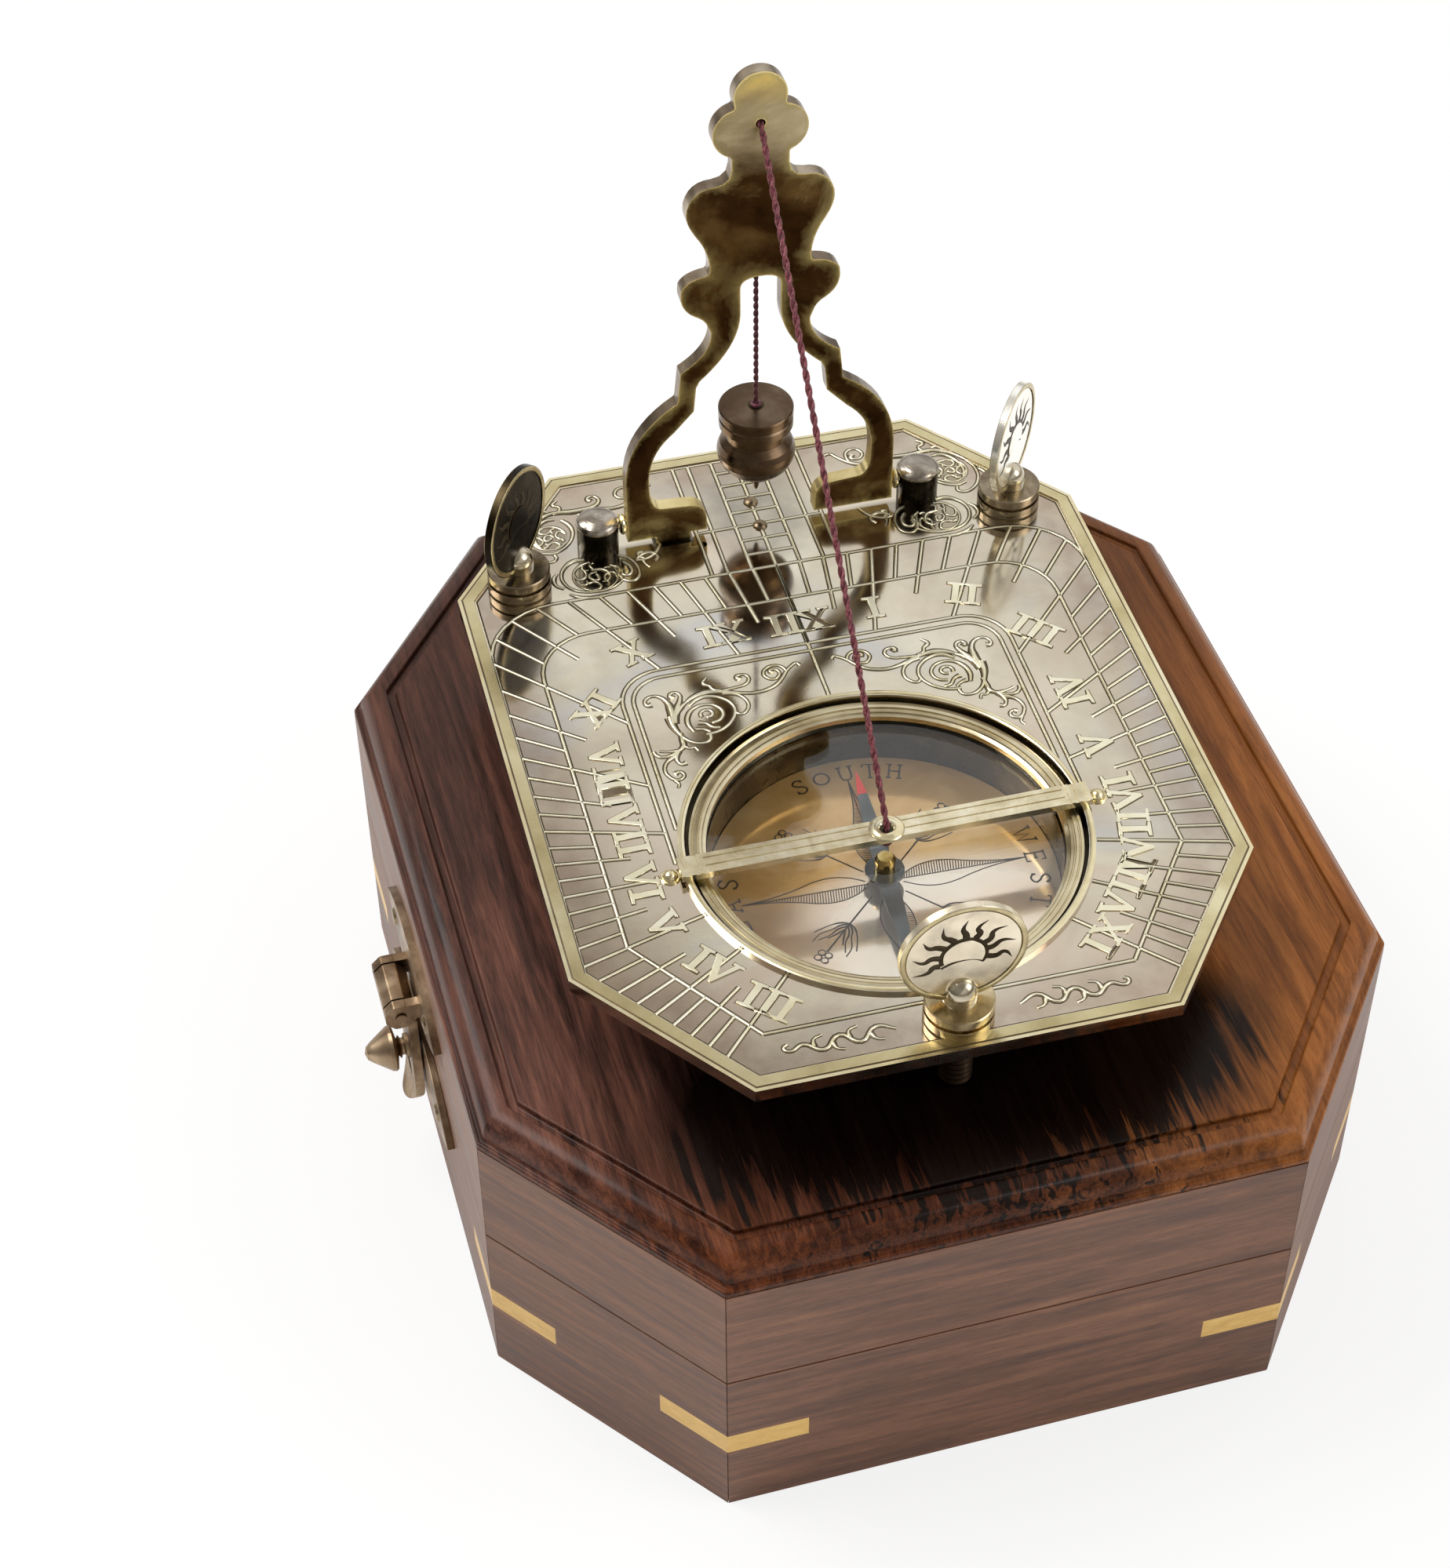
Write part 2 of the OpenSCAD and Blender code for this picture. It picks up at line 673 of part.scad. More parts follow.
module needle_cap() {
  color(bright_brass) on_lid() at_compass() translate([0, 0, needle_z + needle_t])
    rotate_extrude($fn = 32) polygon([
      [needle_pivot_r + 2 * run_fit, 0], [cap_r, 0], [cap_r, cap_h - 0.5], [cap_r - 0.4, cap_h],
      [0, cap_h], [0, 0.9], [needle_pivot_r + 2 * run_fit, 0.7]
    ]);
}

// Three raised bands along the bar, and stepped ends
module crossbar() {
  end_len = 3.6;
  band_w = 0.72;
  band_h = 0.14;
  top = bar_z + bar_t;
  color(bright_brass) on_lid() at_compass() difference() {
    union() {
      translate([-bar_half, -bar_w / 2, bar_z]) cube([2 * bar_half, bar_w, bar_t]);
      for (y = [-1, 0, 1])
        translate([end_len - bar_half, y * (bar_w - band_w) / 2 - band_w / 2, top - slack])
          cube([2 * (bar_half - end_len), band_w, band_h + slack]);
      for (s = [-1, 1], step = [[0, 0.5, 0], [1.1, 0.9, 0], [2.6, 0.5, 0]])
        translate([s * (bar_half - step[0] - step[1] / 2) - step[1] / 2, -bar_w / 2, top - slack])
          cube([step[1], bar_w, band_h + slack]);
    }
    translate([0, 0, -5]) cylinder(h = 10, r = eyelet_r, $fn = 32);
    translate([0, 0, top]) cylinder(h = 5, r = eyelet_flange_r, $fn = 48);
  }
}

module thread_eyelet() {
  color(bright_brass) on_lid() at_compass() rotate_extrude($fn = 48) polygon([
    [eye_r, bar_z], [eyelet_r, bar_z], [eyelet_r, bar_z + bar_t], [eyelet_flange_r, bar_z + bar_t],
    [eyelet_flange_r - 0.1, eye_top - 0.1], [eye_r + 0.3, eye_top], [eye_r, eye_top - 0.2]
  ]);
}

// A round-headed rivet from the plate's face down through what it holds
module rivet(shank, head, depth, rise) {
  rotate_extrude($fn = 32) polygon(concat(
    [[0, -depth], [shank, -depth], [shank, 0], [head, 0]],
    [for (a = [15:15:90]) [head * cos(a), rise * sin(a)]]
  ));
}

module bowl_studs() {
  color(bright_brass) on_lid() at_compass() for (s = [-1, 1])
    translate([s * stud_x, 0, 0]) rivet(stud_r, stud_head_r, plate_t + flange_t, 1.1);
}

module spring_rivets() {
  color(plate_metal) on_lid() for (y = spring_rivet_y)
    translate([0, axle_y + y, 0]) rivet(spring_rivet_r, rivet_head_r, plate_t + spring_t, 0.7);
}

// Two discs with a groove between them
module screw_collars() {
  groove_z = collar_h * 0.47;
  color(aged_brass) on_lid() at_screws() rotate_extrude($fn = 64) polygon([
    [screw_r + run_fit, 0], [collar_r - 0.15, 0], [collar_r, 0.3], [collar_r, groove_z],
    [collar_r - 0.6, groove_z], [collar_r - 0.6, groove_z + 0.55], [collar_r - 0.05, groove_z + 0.55],
    [collar_r - 0.05, collar_h - 0.15], [collar_r - 0.2, collar_h], [screw_r + run_fit, collar_h]
  ]);
}

module hinge_posts() {
  color(aged_brass) on_lid() difference() {
    at_posts() rotate_extrude($fn = 64) polygon(concat(
      [[0, -plate_t], [spigot_r, -plate_t], [spigot_r, 0], [post_r, 0], [post_r, post_h - 0.3]],
      [for (a = [0:10:90]) [dome_r * cos(a), post_h - 0.2 + dome_h * sin(a)]]
    ));
    translate([-pivot_out, axle_y, axle_z]) rotate([0, 90, 0]) cylinder(h = 2 * pivot_out, r = pivot_r, $fn = 32);
  }
}

module pivot_pins() {
  color(bright_brass) on_lid() for (s = [-1, 1])
    translate([s * (pivot_out + pivot_in) / 2, axle_y, axle_z]) rotate([0, 90, 0])
      cylinder(h = pivot_out - pivot_in, r = pivot_r, center = true, $fn = 32);
}

// A turned bead on each pin, between the foot and the post
module pivot_collars() {
  from = stand_half + 0.15;
  len = post_x - dome_r - slack - from;
  color(bright_brass) on_lid() for (s = [-1, 1])
    translate([s * (from + len / 2), axle_y, axle_z]) rotate([0, 90, 0]) rotate_extrude($fn = 32) polygon([
      [pivot_r, -len / 2], [pivot_collar_r - 0.45, -len / 2], [pivot_collar_r - 0.1, -len * 0.26],
      [pivot_collar_r, 0], [pivot_collar_r - 0.1, len * 0.26], [pivot_collar_r - 0.45, len / 2],
      [pivot_r, len / 2]
    ]);
}

module leaf_spring() {
  wide = 4.6;
  mid = axle_y + (spring_rivet_y[0] + spring_rivet_y[1]) / 2;
  tip = heel_x + heel_w / 2 + 1;
  color(steel) on_lid() difference() {
    translate([0, 0, -plate_t - spring_t]) linear_extrude(spring_t) polygon([
      [4, mid - wide], [4, mid + wide], [-3, mid + wide], [-tip, axle_y + 3.2],
      [-tip, axle_y - 2.2], [-3, mid - wide]
    ]);
    for (y = spring_rivet_y)
      translate([0, axle_y + y, -8]) cylinder(h = 10, r = spring_rivet_r, $fn = 24);
  }
}

// Right half of the stand under its head, seen from the front, heights above the plate:
// arch, leg and toe inside, foot, leg outside, lower lobe and shoulder. It is drawn for feet
// that end at drawn_half and a thread hole at drawn_z, and scaled to the stand's own size.
drawn_half = 20.8;
drawn_z = 72.1;
module stand_side() {
  polygon(concat(
    bend([0, 46.75], [3, 46.75], [3, 45]),
    bend([3, 40.5], [3.2, 35], [9.2, 29.7]),
    [[9.75, 28.6], [10.15, 24.4]],
    bend([13.3, 20.9], [17.3, 17.6], [17.25, 12]),
    bend([17.2, 10.5], [17.1, 7.1], [15.3, 6.9]),
    bend([11.3, 6.6], [8.5, 6.5], [8.45, 3.6]),
    [[8.45, foot_gap], [drawn_half, foot_gap]],
    bend([drawn_half, 13], [20.5, 21.5], [12.6, 26.3]),
    bend([12.05, 31.6], [7.4, 34.4], [7.4, 38.1]),
    bend([7.9, 39.4], [8.3, 40.6], [9.6, 41.3], 5),
    bend([10.3, 41.8], [11.8, 43.1], [11.8, 45.1], 6),
    bend([11.7, 46.2], [10.9, 47.9], [7.6, 48.2], 6),
    bend([7.45, 49.2], [7.5, 51.8], [8.9, 54.2], 6),
    bend([9.45, 55.1], [10.8, 57.3], [10.75, 58.8], 6),
    bend([10.7, 59.6], [9.9, 62.9], [6.6, 62.85], 6),
    [[5.4, 63.1], [4.5, 63.9], [4.15, 65.3], [4.15, 70], [0, 70]]
  ));
}

// The head: three lobes
module stand_head() {
  translate([0, 76.4]) circle(3.85, $fn = 48);
  for (s = [-1, 1]) translate([s * 2.95, 70.95]) circle(3.9, $fn = 48);
}

module stand_outline() {
  offset(r = -fillet, $fn = 24) offset(r = fillet, $fn = 24)
    scale([stand_half / drawn_half, thread_z / drawn_z]) {
      stand_head();
      stand_side();
      mirror([1, 0]) stand_side();
    }
}

module gnomon_stand() {
  color(aged_brass) on_lid() difference() {
    union() {
      translate([0, axle_y + stand_t / 2, 0]) rotate([90, 0, 0]) linear_extrude(stand_t) stand_outline();
      translate([-heel_x - heel_w / 2, axle_y - stand_t / 2, axle_z - heel_depth])
        cube([heel_w, stand_t, heel_depth]);
    }
    for (s = [-1, 1])
      translate([s * (stand_half + pivot_in) / 2, axle_y, axle_z]) rotate([0, 90, 0])
        cylinder(h = stand_half - pivot_in + 0.6, r = pivot_r + run_fit, center = true, $fn = 32);
    translate([0, axle_y, thread_z]) rotate([90, 0, 0])
      cylinder(h = 10, r = thread_hole_r, center = true, $fn = 32);
  }
}

// A round cord swept along points in the plane x = 0
function unit(v) = v / norm(v);
function cord_ring(p, dir, r, sides) =
  [for (k = [0:sides - 1]) let (a = 360 * k / sides) p + r * (cos(a) * [1, 0, 0] + sin(a) * [0, -dir[2], dir[1]])];
module cord(path, r, sides = 8) {
  n = len(path);
  dirs = [for (i = [0:n - 1]) unit(path[min(i + 1, n - 1)] - path[max(i - 1, 0)])];
  rings = [for (i = [0:n - 1]) each cord_ring(path[i], dirs[i], r, sides)];
  sides_f = [for (i = [0:n - 2], k = [0:sides - 1], half = [0, 1])
    let (a = i * sides + k, b = i * sides + (k + 1) % sides)
    half == 0 ? [a, b, b + sides] : [a, b + sides, a + sides]];
  polyhedron(rings, concat(
    sides_f,
    [for (k = [1:sides - 2]) [0, k + 1, k]],
    [for (k = [1:sides - 2]) [(n - 1) * sides, (n - 1) * sides + k, (n - 1) * sides + k + 1]]
  ));
}

// The style thread: up through the eyelet, straight to the stand, back through its hole
eye_y = -compass_y;
stand_face_y = axle_y - stand_t / 2;
thread_from = [0, eye_y + 0.5, eye_top + 0.9];
thread_to = [0, stand_face_y - 1.1, thread_z - 1];
thread_path = concat(
  [[0, eye_y, bar_z - 0.1], [0, eye_y, eye_top - 0.4], [0, eye_y + 0.15, eye_top + 0.3]],
  [for (i = [0:48]) thread_from + (thread_to - thread_from) * i / 48],
  [[0, stand_face_y - 0.5, thread_z - 0.5], [0, stand_face_y + 0.1, thread_z - 0.1],
   [0, stand_face_y + 0.9, thread_z], [0, stand_face_y + stand_t, thread_z]]
);

module style_thread() {
  color(thread_red) on_lid() cord(thread_path, thread_r);
}

module style_knot() {
  color(thread_red) on_lid() translate([0, eye_y, bar_z - 0.1 - knot_r]) sphere(knot_r, $fn = 24);
}

module gnomon_knot() {
  half = 0.5;
  color(thread_red) on_lid() translate([0, axle_y + knot_y, thread_z]) {
    rotate([0, 90, 0]) cylinder(h = 2 * half, r = knot_r, center = true, $fn = 24);
    for (s = [-1, 1]) translate([s * half, 0, 0]) rotate([0, s * 90, 0]) rotate_extrude($fn = 24)
      polygon([[0, -slack], [knot_r, -slack], [knot_r * 0.8, 0.5], [knot_r * 0.3, 0.8], [0, 0.8]]);
  }
}

module bob_thread() {
  color(thread_red) on_lid() translate([0, axle_y + bob_y, bob_top - bob_bore])
    cylinder(h = thread_z - knot_r - move_gap - bob_top + bob_bore, r = thread_r, $fn = 16);
}

// Turned bob: two discs, neck, onion-shaped bulb and a fine point; depths below its top as shares
// of its length
module plumb_bob() {
  bore_r = thread_r + run_fit;
  discs = [
    [-0.15, 0], [0, 0.012], [0, 0.086], [-0.25, 0.098], [-0.25, 0.11], [-0.05, 0.123], [-0.05, 0.196],
    [-0.55, 0.215], [-1.05, 0.233], [-1.05, 0.331]
  ];
  bulb = [
    [-1.05, 0.356], [-0.45, 0.399], [-0.1, 0.454], [0, 0.497], [-0.15, 0.558], [-0.7, 0.632],
    [-1.6, 0.693], [-2.95, 0.748], [-4.35, 0.785], [-5, 0.804]
  ];
  color(aged_brass) on_lid() translate([0, axle_y + bob_y, 0]) rotate_extrude($fn = 64) polygon(concat(
    [[0, bob_top - bob_bore], [bore_r, bob_top - bob_bore], [bore_r, bob_top]],
    [for (p = discs) [bob_disc_r + p[0], bob_top - bob_len * p[1]]],
    [for (p = bulb) [max(bob_r + p[0], 0.9), bob_top - bob_len * p[1]]],
    [[0.75, bob_top - bob_len * 0.847], [0.3, bob_top - bob_len * 0.97], [0, bob_top - bob_len]]
  ));
}

// Levelling screws: the threaded rod stands on the lid, the stem and disc turn above it
module screw_rod(s) {
  tip_r = 1;
  color(aged_brass) on_lid() translate([s[1], s[2], 0]) rotate_extrude($fn = 48) polygon([
    [0, -stand_off], [tip_r, -stand_off], [screw_r, -stand_off + 1.6], [screw_r, stem_z], [0, stem_z]
  ]);
}

module screw_stem(s) {
  color(aged_brass) on_lid() translate([s[1], s[2], 0]) rotate(s[3]) difference() {
    rotate_extrude($fn = 48) polygon(concat(
      [[0, stem_z], [screw_r, stem_z]],
      [for (a = [0:10:90]) [screw_r * cos(a), stem_side_z + screw_r * sin(a)]]
    ));
    translate([-10, -disc_t / 2, disc_z - disc_r]) cube([20, disc_t, 20]);
  }
}

module thumb_disc(s) {
  field = disc_t / 2 - 0.12;
  rim = 0.5;
  color(plate_metal) on_lid() translate([s[1], s[2], disc_z]) rotate(s[3]) rotate([90, 0, 0])
    rotate_extrude($fn = 96) polygon([
      [0, -field], [disc_r - rim, -field], [disc_r - rim, -disc_t / 2], [disc_r - 0.1, -disc_t / 2],
      [disc_r, -disc_t / 2 + 0.1], [disc_r, disc_t / 2 - 0.1], [disc_r - 0.1, disc_t / 2],
      [disc_r - rim, disc_t / 2], [disc_r - rim, field], [0, field]
    ]);
}

base_walls();
base_floor();
corner_keys();
base_felt();
catch_plate();
base_hinge_leaves();
hinge_pins();
base_screws();
lid_walls();
lid_board();
lid_felt();
lid_hinge_leaves();
hasp_plate();
hasp_pin();
lid_screws();
hasp_tongue();
hasp_knob();
dial_plate();
compass_bowl();
bezel_ring();
compass_glass();
compass_card();
needle_pivot();
crossbar();
thread_eyelet();
bowl_studs();
screw_collars();
hinge_posts();
pivot_pins();
pivot_collars();
leaf_spring();
spring_rivets();
style_thread();
style_knot();
needle_blade();
needle_cap();
gnomon_stand();
gnomon_knot();
bob_thread();
plumb_bob();
screw_rod(screws[0]);  // front_screw
screw_rod(screws[1]);  // left_screw
screw_rod(screws[2]);  // right_screw
screw_stem(screws[0]);  // front_stem
screw_stem(screws[1]);  // left_stem
screw_stem(screws[2]);  // right_stem
thumb_disc(screws[0]);  // front_disc
thumb_disc(screws[1]);  // left_disc
thumb_disc(screws[2]);  // right_disc
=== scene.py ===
import math

import bpy
from mathutils import Matrix, Vector
from mathutils.kdtree import KDTree


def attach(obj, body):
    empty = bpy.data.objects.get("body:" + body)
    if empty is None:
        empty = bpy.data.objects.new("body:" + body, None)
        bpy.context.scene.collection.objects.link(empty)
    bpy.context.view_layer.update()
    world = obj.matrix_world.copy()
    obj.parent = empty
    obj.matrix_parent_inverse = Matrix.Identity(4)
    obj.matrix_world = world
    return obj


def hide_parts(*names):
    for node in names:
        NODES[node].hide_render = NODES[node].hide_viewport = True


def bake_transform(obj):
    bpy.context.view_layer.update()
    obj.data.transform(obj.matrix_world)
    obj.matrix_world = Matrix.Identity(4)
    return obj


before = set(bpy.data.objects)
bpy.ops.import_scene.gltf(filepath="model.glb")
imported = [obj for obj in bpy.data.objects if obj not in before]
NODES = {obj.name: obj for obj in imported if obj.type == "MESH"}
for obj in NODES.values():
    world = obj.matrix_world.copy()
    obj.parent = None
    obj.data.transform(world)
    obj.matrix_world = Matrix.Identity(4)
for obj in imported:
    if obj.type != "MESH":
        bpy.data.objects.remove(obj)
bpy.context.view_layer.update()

MM = 0.001
# The instrument's place on the lid, as in the source; below, all of it is drawn in its own millimetres
DIAL_X, DIAL_Y, DIAL_Z = -0.0009, 0.0034, 0.0667
DIAL_TURN = math.radians(-1.3)
DIAL = Matrix.Translation((DIAL_X, DIAL_Y, DIAL_Z)) @ Matrix.Rotation(DIAL_TURN, 4, "Z")
COMPASS_Y = -24.0
COMPASS = (0, COMPASS_Y)
AXLE_Y = 45.2
THREAD_Z = 72.1
# The plate's octagon: halves of its width, its length and its front and side edges
HALF_W, HALF_L, HALF_FRONT, HALF_SIDE = 48.1, 63.5, 29.0, 39.0
SLOPE = Vector((HALF_L - HALF_SIDE, HALF_W - HALF_FRONT)).normalized()

# Of the finishes: where a ramp's three colours lie, the scale and depth of brass's fine grain, how much finer
# the unevenness of its polish is than its tarnish, and the broad figure's share in wood
THIRDS = (0.3, 0.5, 0.7)
GRAIN = 2500.0
FINE_DEPTH = 0.00005
POLISH = 2.3
FIGURE = 0.35


# ---------------------------------------------------------------- materials
class Value:
    """What comes out of a node. Signs join it to numbers and other values with Math nodes."""

    def __init__(self, wiring, socket):
        self.wiring, self.socket = wiring, socket

    def __add__(self, other):
        return self.wiring.math("ADD", self, other)

    def __sub__(self, other):
        return self.wiring.math("SUBTRACT", self, other)

    def __rsub__(self, other):
        return self.wiring.math("SUBTRACT", other, self)

    def __mul__(self, other):
        return self.wiring.math("MULTIPLY", self, other)

    def __truediv__(self, other):
        return self.wiring.math("DIVIDE", self, other)


class Wiring:
    """A node tree and the few nodes that finishes and the room are made of."""

    def __init__(self, tree, coordinates="Object"):
        self.tree = tree
        self.where = self.node("TexCoord", coordinates, {})

    def feed(self, socket, value):
        """Set a socket to a number, vector or colour, or link a value to it."""
        if isinstance(value, Value):
            self.tree.links.new(value.socket, socket)
        else:
            socket.default_value = (*value, 1.0) if socket.type == "RGBA" else value

    def node(self, kind, output, inputs, **settings):
        """A new node with its inputs fed, as the value at one output."""
        made = self.tree.nodes.new("ShaderNode" + kind)
        for key, value in settings.items():
            setattr(made, key, value)
        for key, value in inputs.items():
            self.feed(made.inputs[key], value)
        return Value(self, made.outputs[output])

    def stretched(self, scale, turn=0.0, place=(0, 0, 0)):
        return self.node("Mapping", "Vector", {"Scale": scale, "Rotation": (0, 0, turn), "Location": place,
                                               "Vector": self.where})

    def noise(self, scale, detail=3.0, vector=None, rough=0.5, distortion=0.0):
        return self.node("TexNoise", "Fac", {"Scale": scale, "Detail": detail, "Roughness": rough,
                                             "Distortion": distortion, "Vector": vector or self.where})

    def ramp(self, value, places, colours):
        made = self.node("ValToRGB", "Color", {"Fac": value})
        stops = made.socket.node.color_ramp.elements
        while len(stops) < len(places):
            stops.new(0.5)
        for stop, place, colour in zip(stops, places, colours):
            stop.position = place
            stop.color = (*colour, 1.0)
        return made

    def between(self, value, low, high, start=0.3, end=0.7, **settings):
        """Low up to start, high from end on, and even between them."""
        return self.node("MapRange", "Result", {"Value": value, "From Min": start, "From Max": end,
                                                "To Min": low, "To Max": high}, **settings)

    def mix(self, factor, first, second):
        return self.node("Mix", 2, {0: factor, 6: first, 7: second}, data_type="RGBA")

    def math(self, operation, first, second=0.0):
        return self.node("Math", 0, {0: first, 1: second}, operation=operation)

    def axes(self, vector=None):
        """The three coordinates of a vector."""
        made = self.node("SeparateXYZ", 0, {0: vector or self.where})
        return [Value(self, output) for output in made.socket.node.outputs]

    def at_dial(self):
        """Coordinates in the instrument's own frame, as three values in metres."""
        moved = Matrix.Rotation(-DIAL_TURN, 4, "Z") @ Vector((-DIAL_X, -DIAL_Y, 0))
        return self.axes(self.stretched((1, 1, 1), -DIAL_TURN, tuple(moved)))

    def blob(self, x, y, centre, radii, soft=0.5):
        """1 inside an ellipse on x and y, 0 outside it."""
        u, v = (x - centre[0]) / radii[0], (y - centre[1]) / radii[1]
        return self.between(u * u + v * v, 1.0, 0.0, 1.0 - soft, 1.0 + soft)


class Finish(Wiring):
    """A material with one Principled shader and a few nodes around it."""

    def __init__(self, name, metallic=0.0):
        self.material = bpy.data.materials.new(name)
        self.material.use_nodes = True
        super().__init__(self.material.node_tree)
        self.shader = self.tree.nodes["Principled BSDF"]
        self.shader.inputs["Metallic"].default_value = metallic

    def done(self, colour, roughness, grain=None, strength=0.0, depth=FINE_DEPTH, **others):
        """Wire colour, roughness, a fine relief and other inputs to the shader, and give the material."""
        for key, value in {"Base Color": colour, "Roughness": roughness, **others}.items():
            self.feed(self.shader.inputs[key], value)
        if grain:
            relief = self.node("Bump", "Normal", {"Height": grain, "Strength": strength, "Distance": depth})
            self.feed(self.shader.inputs["Normal"], relief)
        return self.material


def metal(name, dark, middle, light, roughness=0.3, spread=0.08, patch=90.0):
    """Brass with patches of tarnish, a fine grain and an uneven polish."""
    f = Finish(name, metallic=1.0)
    patches = f.noise(patch, 5.0, rough=0.6, distortion=0.4)
    polish = f.between(f.noise(patch * POLISH, 4.0), roughness - spread, roughness + spread)
    return f.done(f.ramp(patches, (0.3, 0.5, 0.72), (dark, middle, light)), polish, f.noise(GRAIN, 2.0), 0.06)


def wood(name, grain, places, tones, roughness=0.3, coat=0.25, pores=0.5, shine=0.5, right=None, front=None):
    """Polished hardwood. The grain's scale is small along the fibres and large across them, and places are those
    of the tones. right is the tones of the lid's right side, and front the darker tones of its front, painted
    shade under the instrument's plate."""
    f = Finish(name)
    along = f.stretched(grain)
    broad = f.noise(1.0, 4.0, along, 0.6, 1.2)
    streak = f.noise(4.0, 6.0, along, 0.65, 0.6)
    fibre = f.noise(24.0, 3.0, along, 0.6)
    tone = broad * FIGURE + streak * (1.0 - FIGURE) + (fibre - 0.5) * 0.22
    base = f.ramp(tone, places, tones)
    if right:
        x, y, _ = f.axes()
        wander = (broad - 0.5) * 0.05
        # Painted shade: the lid's front takes the darker front tones, under and before the instrument's plate
        base = f.mix(f.between(y + wander, 0.9, 0.0, -0.072, -0.040), base, f.ramp(tone, places, front))
        base = f.mix(f.between(x + wander, 0.0, 1.0, 0.004, 0.040), base, f.ramp(tone, places, right))
        base = f.mix(f.between(y, 0.0, 0.62, -0.01, 0.06), base, (0.045, 0.018, 0.010))
        # Painted shadow of the instrument's plate on the lid under its front edge, black and streaked like
        # heartwood
        ragged = y + (streak - 0.5) * 0.035
        plate_shadow = f.blob(x, ragged, (-0.001, -0.053), (0.040, 0.0195), 0.45)
        streaked_plate_shadow = f.between(plate_shadow + (streak - 0.5) * 1.4, 0.0, 0.96, 0.15, 0.62)
        base = f.mix(streaked_plate_shadow, base, (0.0012, 0.0006, 0.0005))
    pore = f.between(f.noise(60.0, 2.0, along, 0.5), 0.0, 1.0, 0.60, 0.72)
    dark = tuple(0.35 * c for c in tones[0])
    return f.done(f.mix(pore * pores, base, dark), f.between(streak, roughness - 0.06, roughness + 0.1),
                  fibre + pore * -0.8, 0.12, 0.00008,
                  **{"Specular IOR Level": shine, "Coat Weight": coat, "Coat Roughness": 0.22})


def ringed(name, dark, middle, light, place, roughness):
    """Brass turned on a lathe about the instrument's axis at place, with fine rings."""
    f = Finish(name, metallic=1.0)
    centre = DIAL @ Vector((place[0] * MM, place[1] * MM, 0))
    local = f.stretched((1, 1, 0), place=(-centre.x, -centre.y, 0))
    radius = f.node("VectorMath", "Value", {0: local}, operation="LENGTH")
    line = f.noise(3200.0, 2.0, f.node("CombineXYZ", 0, {0: radius}), 0.7)
    patches = f.noise(120.0, 4.0)
    return f.done(f.ramp(line * 0.5 + patches * 0.5, (0.35, 0.5, 0.65), (dark, middle, light)),
                  f.between(patches, roughness - 0.06, roughness + 0.08), line, 0.25, 0.00004)


def rising(name, axis, split, fade, low, high, roughness=0.3, patch=80.0, edges=None, crown=None):
    """Brass whose tarnish changes along an axis: low and high are its three colours before and after split.
    edges is the colour of rubbed edges, where the mesh carries how worn it is, and crown the place and colour of
    the polished top."""
    f = Finish(name, metallic=1.0)
    patches = f.noise(patch, 5.0, rough=0.62, distortion=0.5)
    place = f.axes()["XYZ".index(axis)] + (patches - 0.5) * fade
    below, above = (f.ramp(patches, (0.34, 0.5, 0.66), tones) for tones in (low, high))
    tone = f.mix(f.between(place, 0.0, 1.0, split - fade / 2, split + fade / 2), below, above)
    if crown:
        top = f.between(place, 0.0, 0.85, crown[0] - 0.002, crown[0] + 0.003)
        tone = f.mix(top * f.between(patches, 0.5, 1.0, 0.35, 0.6), tone, crown[1])
    if edges:
        wear = f.node("Attribute", "Fac", {}, attribute_name="wear")
        spread = f.between(f.noise(75.0, 5.0, rough=0.7, distortion=0.4), -0.45, 0.5, 0.35, 0.65)
        rubbed = f.math("POWER", wear, 0.55) + spread
        tone = f.mix(f.between(rubbed, 0.0, 0.9, 0.35, 1.15), tone, tuple(0.55 * c for c in edges))
        tone = f.mix(f.between(wear + spread * 0.3, 0.0, 1.0, 0.72, 1.0), tone, edges)
    polish = f.between(f.noise(patch * POLISH, 4.0), roughness - 0.07, roughness + 0.08)
    return f.done(tone, polish, f.noise(GRAIN, 2.0), 0.05)


